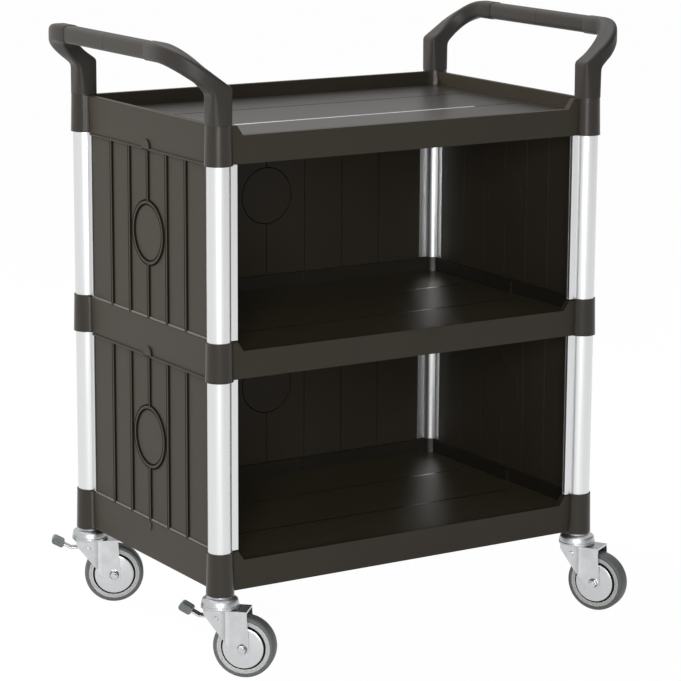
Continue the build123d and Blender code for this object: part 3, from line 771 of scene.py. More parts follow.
class RibbedSheet:
    """Geometry Nodes tree for a panel: a thin sheet, ribs and a ring outside, fine grooves inside, and
    near-black strips at the feet of the ribs and the ring that are painted shadow lines.

    The sheet stands on Z = 0 with its middle at X = 0 and its outer side towards +Y.
    """

    SIZES = (
        "Half Width",
        "Height",
        "Thickness",
        "Rib Pitch",
        "Rib Count",
        "Rib Width",
        "Rib Crest",
        "Rib Proud",
        "Rib Rounding",
        "Seam Width",
        "Seam Drop",
        "Groove Width",
        "Groove Depth",
        "Ring Radius",
        "Ring Height",
    )
    RING_STEPS = 96
    DISC_DEPTH = 40.0
    CORNER_STEPS = 6
    GROOVE_MOUTH = 1.6
    GROOVE_FLOOR = 0.4

    def __init__(self) -> None:
        """Build the tree."""
        self.tree = bpy.data.node_groups.new("RibbedSheet", "GeometryNodeTree")
        face = self.tree.interface
        self.sockets = {}
        for label in self.SIZES:
            kind = "NodeSocketInt" if label == "Rib Count" else "NodeSocketFloat"
            self.sockets[label] = face.new_socket(label, in_out="INPUT", socket_type=kind).identifier
        for label in ("Material", "Seam Material"):
            socket = face.new_socket(label, in_out="INPUT", socket_type="NodeSocketMaterial")
            self.sockets[label] = socket.identifier
        face.new_socket("Geometry", in_out="OUTPUT", socket_type="NodeSocketGeometry")
        self.take = self.tree.nodes.new("NodeGroupInput")
        self.build()

    def size(self, label: str) -> bpy.types.NodeSocket:
        """The socket of a named size."""
        return self.take.outputs[label]

    def calc(self, operation: str, *terms: object) -> bpy.types.NodeSocket:
        """A sum over sizes."""
        return calc(self.tree, operation, *terms)

    def vector(self, x: object, y: object, z: object) -> bpy.types.NodeSocket:
        """A vector from sizes and numbers."""
        return put(self.tree, "ShaderNodeCombineXYZ", {0: x, 1: y, 2: z}).outputs[0]

    def step(self, kind: str, inputs: dict, **settings: object) -> bpy.types.NodeSocket:
        """Add a geometry node and give its first output."""
        return put(self.tree, kind, inputs, **settings).outputs[0]

    def strip_line(
        self, depth: object, wide: object, narrow: object, rounding: object
    ) -> bpy.types.NodeSocket:
        """The cross-section of a rib or groove, wide below and narrow above, with rounded corners.

        Args:
            depth: Height of the section.
            wide: Width at its foot.
            narrow: Width at its crest.
            rounding: Radius of its corners.

        Returns:
            The curve.
        """
        sizes = {"Height": depth, "Bottom Width": wide, "Top Width": narrow, "Offset": 0.0}
        line = self.step("GeometryNodeCurvePrimitiveQuadrilateral", sizes, mode="TRAPEZOID")
        rounds = {"Curve": line, "Count": self.CORNER_STEPS, "Radius": rounding, "Limit Radius": True}
        return self.step("GeometryNodeFilletCurve", rounds, mode="POLY")

    def bars(self, line: bpy.types.NodeSocket, y: object) -> bpy.types.NodeSocket:
        """Upright bars at the rib pitch, cut away inside the ring.

        Args:
            line: Cross-section of a bar.
            y: Where the middle of the section stands.

        Returns:
            The bars.
        """
        face = self.step("GeometryNodeFillCurve", {"Curve": line}, mode="NGONS")
        rise = {"Offset": (0.0, 0.0, 1.0), "Offset Scale": self.size("Height"), "Individual": False}
        sides = self.step("GeometryNodeExtrudeMesh", {"Mesh": face, **rise})
        foot = self.step("GeometryNodeFlipFaces", {"Mesh": face})
        bar = self.step("GeometryNodeJoinGeometry", {"Geometry": [sides, foot]})
        bar = self.step("GeometryNodeMergeByDistance", {"Geometry": bar, "Distance": 0.001})
        gaps = self.calc("SUBTRACT", self.size("Rib Count"), 1.0)
        first = self.calc("MULTIPLY", self.calc("MULTIPLY", gaps, self.size("Rib Pitch")), -0.5)
        row = {
            "Count": self.size("Rib Count"),
            "Start Location": self.vector(first, y, 0.0),
            "Offset": self.vector(self.size("Rib Pitch"), 0.0, 0.0),
        }
        points = self.step("GeometryNodeMeshLine", row, mode="OFFSET")
        placed = self.step("GeometryNodeInstanceOnPoints", {"Points": points, "Instance": bar})
        placed = self.step("GeometryNodeRealizeInstances", {"Geometry": placed})
        disc = {"Vertices": self.RING_STEPS, "Radius": self.size("Ring Radius"), "Depth": self.DISC_DEPTH}
        disc = self.upright(self.step("GeometryNodeMeshCylinder", disc), 0.0)
        return self.cut(placed, [disc])

    def cut(self, shape: bpy.types.NodeSocket, cutters: list[bpy.types.NodeSocket]) -> bpy.types.NodeSocket:
        """Cut shapes out of another."""
        both = {"Mesh 1": shape, "Mesh 2": cutters}
        return self.step("GeometryNodeMeshBoolean", both, operation="DIFFERENCE", solver="EXACT")

    def coated(self, shapes: list[bpy.types.NodeSocket], material: str) -> bpy.types.NodeSocket:
        """Join shapes as plain meshes of one material.

        Args:
            shapes: What is joined.
            material: Name of the material's input.

        Returns:
            The joined shape.
        """
        whole = self.step("GeometryNodeJoinGeometry", {"Geometry": shapes})
        whole = self.step("GeometryNodeRealizeInstances", {"Geometry": whole})
        return self.step("GeometryNodeSetMaterial", {"Geometry": whole, "Material": self.size(material)})

    def upright(self, shape: bpy.types.NodeSocket, y: object) -> bpy.types.NodeSocket:
        """Stand a flat round shape up at the ring's middle.

        Args:
            shape: Shape about Z.
            y: Where its middle goes across the sheet.

        Returns:
            The shape about Y.
        """
        place = {
            "Geometry": shape,
            "Translation": self.vector(0.0, y, self.size("Ring Height")),
            "Rotation": (math.pi / 2, 0.0, 0.0),
        }
        return self.step("GeometryNodeTransform", place)

    def ring(self, line: bpy.types.NodeSocket, y: object) -> bpy.types.NodeSocket:
        """The cross-section swept round the ring.

        Args:
            line: Cross-section.
            y: Where the middle of the section stands.

        Returns:
            The swept ring.
        """
        circle = {"Resolution": self.RING_STEPS, "Radius": self.size("Ring Radius")}
        path = self.step("GeometryNodeCurvePrimitiveCircle", circle)
        swept = self.step("GeometryNodeCurveToMesh", {"Curve": path, "Profile Curve": line})
        return self.upright(swept, y)

    def build(self) -> None:
        """Put the nodes together."""
        half_t = self.calc("MULTIPLY", self.size("Thickness"), 0.5)
        sheet_size = self.vector(
            self.calc("MULTIPLY", self.size("Half Width"), 2.0), self.size("Thickness"), self.size("Height")
        )
        sheet = self.step("GeometryNodeMeshCube", {"Size": sheet_size})
        middle = self.vector(0.0, 0.0, self.calc("MULTIPLY", self.size("Height"), 0.5))
        sheet = self.step("GeometryNodeTransform", {"Geometry": sheet, "Translation": middle})
        reach = self.calc("ADD", half_t, self.size("Rib Proud"))
        rib_y = self.calc("MULTIPLY", reach, 0.5)
        # The ribs are narrowed so that a painted shadow line shows at each side of them.
        shadow_wide = self.calc("MULTIPLY", self.size("Seam Width"), 2.0)
        foot = self.calc("SUBTRACT", self.size("Rib Width"), shadow_wide)
        crest = self.calc("SUBTRACT", self.size("Rib Crest"), shadow_wide)
        rib_line = self.strip_line(reach, foot, crest, self.size("Rib Rounding"))
        groove_depth = self.calc("MULTIPLY", self.size("Groove Depth"), 2.0)
        groove_y = self.calc("MULTIPLY", half_t, -1.0)
        groove_wide = self.calc("MULTIPLY", self.size("Groove Width"), self.GROOVE_MOUTH)
        groove_narrow = self.calc("MULTIPLY", self.size("Groove Width"), self.GROOVE_FLOOR)
        groove_line = self.strip_line(groove_depth, groove_wide, groove_narrow, 0.0)
        cuts = [self.bars(groove_line, groove_y), self.ring(groove_line, groove_y)]
        carved = self.cut(sheet, cuts)
        whole = self.coated([carved, self.bars(rib_line, rib_y), self.ring(rib_line, rib_y)], "Material")
        # Near-black strips under the ribs and the ring, a little lower than them: painted shadow lines at
        # their feet.
        shadow_reach = self.calc("SUBTRACT", reach, self.size("Seam Drop"))
        shadow_y = self.calc("MULTIPLY", shadow_reach, 0.5)
        shadow_section = self.strip_line(
            shadow_reach, self.size("Rib Width"), self.size("Rib Crest"), self.size("Rib Rounding")
        )
        shadow_strips = self.coated([self.bars(shadow_section, shadow_y), self.ring(shadow_section, shadow_y)], "Seam Material")
        whole = self.step("GeometryNodeJoinGeometry", {"Geometry": [shadow_strips, whole]})
        put(self.tree, "NodeGroupOutput", {"Geometry": whole})

    def mesh(
        self, sizes: dict[str, float], material: bpy.types.Material, seam: bpy.types.Material
    ) -> bpy.types.Mesh:
        """Evaluate the tree.

        Args:
            sizes: Every named size, in millimetres.
            material: Finish of the sheet.
            seam: Finish of the painted shadow lines at the feet of the ribs and the ring.

        Returns:
            A plain mesh in millimetres.
        """
        bench = bpy.data.objects.new("bench", bpy.data.meshes.new("bench"))
        bpy.context.scene.collection.objects.link(bench)
        modifier = bench.modifiers.new("ribbed_sheet", "NODES")
        modifier.node_group = self.tree
        for label, value in sizes.items():
            modifier[self.sockets[label]] = value
        modifier[self.sockets["Material"]] = material
        modifier[self.sockets["Seam Material"]] = seam
        made = bpy.data.meshes.new_from_object(bench.evaluated_get(bpy.context.evaluated_depsgraph_get()))
        bpy.data.objects.remove(bench)
        return made


@dataclass
class Panels:
    """The six ribbed panels between the posts."""

    height: float = 276.0
    thickness: float = 3.0
    side_half_width: float = 203.5
    back_half_width: float = 326.5
    side_pitch: float = 62.5
    side_count: int = 5
    back_pitch: float = 76.8
    back_count: int = 7
    rib_width: float = 9.3
    rib_crest: float = 8.9
    rib_proud: float = 2.0
    rib_rounding: float = 0.5
    # Width and drop of the painted shadow lines at the feet of the ribs and the ring.
    shadow_line_width: float = 2.4
    shadow_line_drop: float = 0.12
    side_groove: tuple[float, float] = (1.4, 0.3)
    back_groove: tuple[float, float] = (1.8, 1.6)
    ring_radius: float = 49.0
    ring_height: float = 139.0
    band_height: float = 3.5
    band_proud: float = 5.0
    band_end: float = 9.5
    bead_height: float = 3.0
    bead_proud: float = 1.8
    # Index of the bead's pale finish, a painted highlight.
    bead_highlight_coat: int = 2
    tongue_r: float = 12.0
    tongue_rise: float = 2.0
    tongue_t: float = 1.8
    tongue_steps: int = 16
    root: float = 1.0
    gate_r: float = 3.2
    gate_t: float = 0.35
    gate_crown: float = 0.6
    gate_steps: int = 24
    sharp_deg: float = 28.0

    def build(self, shop: Workshop) -> None:
        """Make all six panels.

        Args:
            shop: Where finished pieces go.
        """
        sheet = RibbedSheet()
        side_ribs = (self.side_half_width, self.side_pitch, self.side_count, self.side_groove)
        back_ribs = (self.back_half_width, self.back_pitch, self.back_count, self.back_groove)
        sides = {
            "left": (90.0, -HALF_SPAN_X, 0.0, side_ribs),
            "right": (-90.0, HALF_SPAN_X, 0.0, side_ribs),
            "back": (0.0, 0.0, HALF_SPAN_Y, back_ribs),
        }
        black, seam = shop.finishes.by_slot[Slot.BLACK_PLASTIC], shop.finishes.seam
        for side, (turn, x, y, (half, pitch, count, groove)) in sides.items():
            sizes = {
                "Half Width": half,
                "Height": self.height,
                "Thickness": self.thickness,
                "Rib Pitch": pitch,
                "Rib Count": count,
                "Rib Width": self.rib_width,
                "Rib Crest": self.rib_crest,
                "Rib Proud": self.rib_proud,
                "Rib Rounding": self.rib_rounding,
                "Seam Width": self.shadow_line_width,
                "Seam Drop": self.shadow_line_drop,
                "Groove Width": groove[0],
                "Groove Depth": groove[1],
                "Ring Radius": self.ring_radius,
                "Ring Height": self.ring_height,
            }
            ribbed = sheet.mesh(sizes, black, seam)
            for tier in Tier:
                grid = bmesh.new()
                grid.from_mesh(ribbed)
                for face in grid.faces:
                    # Faces of the painted shadow lines get the second finish.
                    face.material_index = int(ribbed.materials[face.material_index] == seam)
                self.add_band(grid, half)
                self.add_bead(grid, half)
                place = Matrix.Translation((x, y, tier.value)) @ Matrix.Rotation(math.radians(turn), 4, "Z")
                mesh = finished_mesh(f"{side}_panel", grid, place, self.sharp_deg)
                # The third finish is the pale painted highlight of the beads.
                shop.deliver(mesh, f"{tier.name.lower()}_{side}_panel", black, seam, shop.finishes.lug)

    def add_bead(self, grid: bmesh.types.BMesh, half: float) -> None:
        """Add the bead along the panel's foot, which the ribs stand across; its pale finish is a painted
        highlight.

        Args:
            grid: Mesh of the panel in millimetres.
            half: Half the panel's width.
        """
        face = self.thickness / 2
        root, front = face - self.root, face + self.bead_proud
        corners = [(root, 0.0, 0.0), (front, 0.0, 0.3), (front, self.bead_height, 0.9)]
        section = round_corners([*corners, (root, self.bead_height, 0.0)], 4)
        end = half - self.band_end
        before = len(grid.faces)
        prism(grid, [(-end, y, z) for y, z in section], Vector((2 * end, 0.0, 0.0)))
        grid.faces.ensure_lookup_table()
        for part in grid.faces[before:]:
            part.material_index = self.bead_highlight_coat

    def add_band(self, grid: bmesh.types.BMesh, half: float) -> None:
        """Add the head band with its tongue, and the small gate mark on the inner side.

        Args:
            grid: Mesh of the panel in millimetres.
            half: Half the panel's width.
        """
        face = self.thickness / 2
        root, front = face - self.root, face + self.band_proud
        low = self.height - self.band_height
        end = half - self.band_end
        corners = [(root, low, 0.0), (front, low, 0.6), (front, self.height, 2.0), (root, self.height, 0.0)]
        section = round_corners(corners, 5)
        prism(grid, [(-end, y, z) for y, z in section], Vector((2 * end, 0.0, 0.0)))
        crown = self.height + self.tongue_rise
        tab = [(-self.tongue_r, low), (self.tongue_r, low)]
        for step in range(self.tongue_steps + 1):
            angle = math.pi * step / self.tongue_steps
            tab.append((self.tongue_r * math.cos(angle), crown + self.tongue_r * math.sin(angle)))
        prism(grid, [(x, front, z) for x, z in tab], Vector((0.0, -self.tongue_t, 0.0)))
        mark = bmesh.new()
        foot = [(0.0, -self.root), (self.gate_r, -self.root), (self.gate_r, 0.0)]
        dome = [*foot, (self.gate_crown * self.gate_r, self.gate_t), (0.0, self.gate_t)]
        lathe(dome, self.gate_steps, mark)
        stand = Matrix.Translation((0.0, -face, self.ring_height)) @ Matrix.Rotation(math.pi / 2, 4, "X")
        merge_into(grid, mark, stand)


@dataclass
class Shelves:
    """The three moulded shelves, with softly broken edges and a smoother tray floor."""

    edge: BrokenEdge = BrokenEdge(1.1, 3)
    lug_edge: BrokenEdge = BrokenEdge(0.8, 3)
    floor_drop: float = 24.5
    rims: tuple[tuple[str, float, float], ...] = (
        ("top", 872.0, 62.0),
        ("middle", 536.0, 62.0),
        ("bottom", 200.0, 68.0),
    )
    collar_r: float = 21.7
    collar_play: float = 1.3
    lug_near: float = 20.0
    lug_far: float = 23.4
    lug_out: float = 7.5
    lug_gap: float = 2.2
    ridge_y: float = 78.0
    ridge_half: float = 310.0
    ridge_run: float = 3.6
    ridge_rise: float = 0.4
    top_ridge_run: float = 2.6
    top_ridge_rise: float = 1.0
    top_ridge_end: float = 225.0
    ridge_sunk: float = 0.35
    tray_half: tuple[float, float] = (341.2, 218.2)
    floor_play: float = 2.0

    def build(self, shop: Workshop) -> None:
        """Make the three shelves.

        Args:
            shop: Where finished pieces go.
        """
        made = shop.finishes
        for name, rim_z, collar_height in self.rims:
            node = f"{name}_shelf"
            mesh = self.edge.soften_node(node)
            floor_z = rim_z - self.floor_drop
            open_top = name == "top"
            for face in mesh.polygons:
                face.material_index = self.coat(face, floor_z, open_top).value
            self.add_lugs(mesh, rim_z - collar_height + self.lug_gap, rim_z - self.lug_gap)
            self.add_ridges(mesh, floor_z, open_top)
            coats = {
                ShelfCoat.SKIRT: made.by_slot[Slot.BLACK_PLASTIC],
                # Floors under a shelf get a lighter copy of the floor finish: painted light.
                ShelfCoat.FLOOR: made.floor if open_top else made.floor_painted_light,
                ShelfCoat.COLLAR: made.collar,
                ShelfCoat.LUG: made.lug,
                ShelfCoat.RIDGE: made.ridge,
                # Inner walls of the lower shelves get the darker floor finish: painted shade.
                ShelfCoat.INNER_WALL: made.floor,
            }
            shop.deliver(mesh, node, *(coats[area] for area in ShelfCoat))

    def coat(self, face: bpy.types.MeshPolygon, floor_z: float, open_top: bool) -> ShelfCoat:
        """Which finish a face of the moulding has.

        Args:
            face: Face of a shelf, in metres.
            floor_z: Height of the floor.
            open_top: Whether it is the top shelf, whose walls have the skirt's finish.

        Returns:
            The area that the face belongs to.
        """
        x, y, z = (abs(value) / MM for value in face.center)
        inside = x < self.tray_half[0] and y < self.tray_half[1]
        if abs(z - floor_z) < self.floor_play and face.normal.z > 0.5:
            return ShelfCoat.FLOOR
        # Inner walls of the lower shelves take the darker finish: painted shade.
        if inside and not open_top and 0.0 < z - floor_z < self.floor_drop:
            return ShelfCoat.INNER_WALL
        from_axis = math.hypot(x - HALF_SPAN_X, y - HALF_SPAN_Y)
        if abs(from_axis - self.collar_r) < self.collar_play and abs(face.normal.z) < 0.3:
            return ShelfCoat.COLLAR
        return ShelfCoat.SKIRT

    def add_lugs(self, mesh: bpy.types.Mesh, low: float, high: float) -> None:
        """Add the narrow upright lugs where each collar meets a side skirt, in a pale finish that is a
        painted highlight.

        Args:
            mesh: Shelf, in metres.
            low: Height of the lugs' feet.
            high: Height of their heads.
        """
        lugs = bmesh.new()
        for sx, sy in CORNER_SIGNS.values():
            xs = (sx * HALF_SPAN_X, sx * (HALF_SPAN_X + self.lug_out))
            ys = (sy * (HALF_SPAN_Y - self.lug_near), sy * (HALF_SPAN_Y - self.lug_far))
            outline = [(xs[0], ys[0]), (xs[1], ys[0]), (xs[1], ys[1]), (xs[0], ys[1])]
            prism(lugs, [(x, y, low) for x, y in outline], Vector((0.0, 0.0, high - low)))
        self.graft(mesh, self.lug_edge.soften(self.extra_mesh(lugs, ShelfCoat.LUG)))

    def add_ridges(self, mesh: bpy.types.Mesh, floor_z: float, open_top: bool) -> None:
        """Add the fine ridges along the lines of a floor, in a pale metal finish that is a painted glint.

        Args:
            mesh: Shelf, in metres.
            floor_z: Height of the floor.
            open_top: Whether it is the top shelf, where only the front line is raised.
        """
        ridges = bmesh.new()
        low = floor_z - self.ridge_sunk
        lines, end = (-self.ridge_y, self.ridge_y), self.ridge_half
        run, rise = self.ridge_run, self.ridge_rise
        if open_top:
            lines, end = (-self.ridge_y,), self.top_ridge_end
            run, rise = self.top_ridge_run, self.top_ridge_rise
        along = Vector((self.ridge_half + end, 0.0, 0.0))
        for y in lines:
            front, back = y - run / 2, y + run / 2
            section = [(front, low), (back, low + rise), (back, low)]
            prism(ridges, [(-self.ridge_half, a, z) for a, z in section], along)
        self.graft(mesh, self.extra_mesh(ridges, ShelfCoat.RIDGE))

    @staticmethod
    def extra_mesh(grid: bmesh.types.BMesh, coat: ShelfCoat) -> bpy.types.Mesh:
        """A mesh in metres from bars in millimetres.

        Args:
            grid: The bars; they are freed.
            coat: Which of the shelf's finishes they have.

        Returns:
            The mesh.
        """
        bmesh.ops.recalc_face_normals(grid, faces=grid.faces)
        bmesh.ops.scale(grid, vec=(MM, MM, MM), verts=grid.verts)
        for face in grid.faces:
            face.material_index = coat.value
        made = bpy.data.meshes.new("extra")
        grid.to_mesh(made)
        grid.free()
        return made

    @staticmethod
    def graft(mesh: bpy.types.Mesh, extra: bpy.types.Mesh) -> None:
        """Add one mesh to another, both in metres.

        Args:
            mesh: Mesh that grows.
            extra: Mesh to add.
        """
        whole = bmesh.new()
        whole.from_mesh(mesh)
        whole.from_mesh(extra)
        whole.to_mesh(mesh)
        whole.free()


@dataclass
class Posts:
    """The eight drawn posts, with their extruded edges broken."""

    edge: BrokenEdge = BrokenEdge(0.4, 2)

    def build(self, shop: Workshop) -> None:
        """Make the eight posts.

        Args:
            shop: Where finished pieces go.
        """
        for tier in Tier:
            for corner in CORNER_SIGNS:
                node = f"{tier.name.lower()}_post_{corner}"
                shop.deliver(self.edge.soften_node(node), node)


@dataclass
class Handles:
    """The two push handles, each of two moulded halves."""

    rim_z: float = 872.0
    foot: float = 40.0
    foot_corner: float = 19.0
    stub: float = 35.0
    stub_corner: float = 8.0
    elbow_rise: float = 51.0
    elbow_drop: float = 12.0
    elbow_ease: float = 5.0
    grip_out: float = 67.0
    grip_rise: float = 108.0
    grip_width: float = 26.0
    grip_height: float = 28.0
    grip_corner: float = 9.0
    grip_step: float = 0.9
    grip_half: float = 135.0
    arm_rise: float = 51.0
    arm_start: float = 12.0
    arm_ease: float = 9.0
    ease_span: int = 3
    arm_width: float = 33.0
    arm_t: float = 27.5
    arm_corner: float = 8.0
    bend_steps: int = 18
    ease_steps: int = 6
    ease_share: float = 0.45
    corner_steps: int = 8
    sharp_deg: float = 42.0

    def build(self, shop: Workshop) -> None:
        """Make the four halves from the rear right one.

        Args:
            shop: Where finished pieces go.
        """
        for side, sx in (("left", -1), ("right", 1)):
            for end, sy in (("front", -1), ("rear", 1)):
                grid = self.half()
                mirror = Matrix.Diagonal((sx, sy, 1.0, 1.0))
                mesh = finished_mesh(f"{side}_{end}_half", grid, mirror, self.sharp_deg, weighted=False)
                shop.deliver(mesh, f"{side}_handle_{end}_half", shop.finishes.handle)

    def ring(
        self, place: Vector, across: Vector, ahead: Vector, size: tuple[float, float, float]
    ) -> list[Vector]:
        """One cross-section of the arm.

        Args:
            place: Its middle.
            across: Direction of its width.
            ahead: Direction of the arm.
            size: Width, depth and corner radius.

        Returns:
            The points of the section.
        """
        up = ahead.cross(across)
        line = rounded_box_line(*size, self.corner_steps)
        return [place + across * x + up * y for x, y in line]

    def arm_ring(self, out: float, turn: float, share: float) -> list[Vector]:
        """One cross-section of the arm, between the elbow and the grip.

        Args:
            out: Distance outwards from the post's axis.
            turn: Angle turned so far from outwards towards the middle, in radians.
            share: Share of the change from the arm's section to the sleeve's.

        Returns:
            The points of the section.
        """
        climb = (self.grip_rise - self.arm_rise) / self.grip_out
        inward = (self.grip_out - self.arm_start) * (1.0 - math.cos(turn))
        place = Vector((HALF_SPAN_X + out, HALF_SPAN_Y - inward, self.rim_z + self.arm_rise + climb * out))
        ahead = Vector((math.cos(turn), -math.sin(turn), climb * math.cos(turn))).normalized()
        across = Vector((math.sin(turn), math.cos(turn), 0.0))
        arm = (self.arm_width, self.arm_t, self.arm_corner)
        size = tuple(first + (last - first) * share for first, last in zip(arm, self.sleeve()))
        return self.ring(place, across, ahead, size)

    def sleeve(self) -> tuple[float, float, float]:
        """Width, height and corner radius of the sleeve that the grip comes out of."""
        step = 2 * self.grip_step
        return (self.grip_width + step, self.grip_height + step, self.grip_corner)

    def eased(
        self, before: list[Vector], turn: list[Vector], after: list[Vector], reach: float
    ) -> list[list[Vector]]:
        """Round off the change of direction at one section.

        Args:
            before: Points of the section before it.
            turn: Points of the section itself.
            after: Points of the section after it.
            reach: How far from the section the rounding starts and ends.

        Returns:
            The sections that take its place.
        """
        run = []
        for step in range(self.ease_steps + 1):
            t = step / self.ease_steps
            ring = []
            for a, b, c in zip(before, turn, after):
                start = b + (a - b) * min(reach / max((a - b).length, reach), self.ease_share)
                end = b + (c - b) * min(reach / max((c - b).length, reach), self.ease_share)
                ring.append(start * (1 - t) ** 2 + b * (2 * t * (1 - t)) + end * t**2)
            run.append(ring)
        return run

    def sections(self) -> list[list[Vector]]:
        """Cross-sections from the foot, over the elbow and round the bend, to the start of the sleeve.

        Returns:
            The points of each section.
        """
        foot_size = (self.foot, self.foot, self.foot_corner)
        foot_place = Vector((HALF_SPAN_X, HALF_SPAN_Y, self.rim_z))
        foot = self.ring(foot_place, Vector((0, 1, 0)), Vector((0, 0, 1)), foot_size)
        tilt = Vector((self.elbow_drop, 0.0, self.stub)).normalized()
        elbow_size = (self.stub, math.hypot(self.stub, self.elbow_drop), self.stub_corner)
        elbow_place = foot_place + Vector((0.0, 0.0, self.elbow_rise))
        elbow = self.ring(elbow_place, Vector((0, 1, 0)), tilt, elbow_size)
        bend = []
        for step in range(self.bend_steps + 1):
            share = step / self.bend_steps
            turn = math.pi / 2 * share
            out = self.arm_start + (self.grip_out - self.arm_start) * math.sin(turn)
            bend.append(self.arm_ring(out, turn, share))
        rings = [foot]
        rings += self.eased(foot, elbow, bend[0], self.elbow_ease)
        rings += self.eased(elbow, bend[0], bend[self.ease_span], self.arm_ease)
        return rings + bend[self.ease_span :]

    def half(self) -> bmesh.types.BMesh:
        """The rear right half, in millimetres.

        Returns:
            The mesh.
        """
        grid = bmesh.new()
        grip_x = HALF_SPAN_X + self.grip_out
        grip_z = self.rim_z + self.grip_rise
        ahead, across = Vector((0, -1, 0)), Vector((1, 0, 0))
        sleeve = self.sleeve()
        grip = (self.grip_width, self.grip_height, self.grip_corner)
        seam = (self.grip_width - 1.0, self.grip_height - 1.0, self.grip_corner - 0.5)
        rings = self.sections()
        for y, size in (
            (self.grip_half + 0.8, sleeve),
            (self.grip_half, (sleeve[0] - 0.8, sleeve[1] - 0.8, sleeve[2])),
            (self.grip_half, grip),
            (0.7, grip),
            (0.15, seam),
        ):
            rings.append(self.ring(Vector((grip_x, y, grip_z)), across, ahead, size))
        rows = [[grid.verts.new(point) for point in ring] for ring in rings]
        count = len(rows[0])
        for this, following in zip(rows, rows[1:]):
            for index in range(count):
                after = (index + 1) % count
                grid.faces.new((this[index], this[after], following[after], following[index]))
        grid.faces.new(list(reversed(rows[0])))
        grid.faces.new(rows[-1])
        return grid


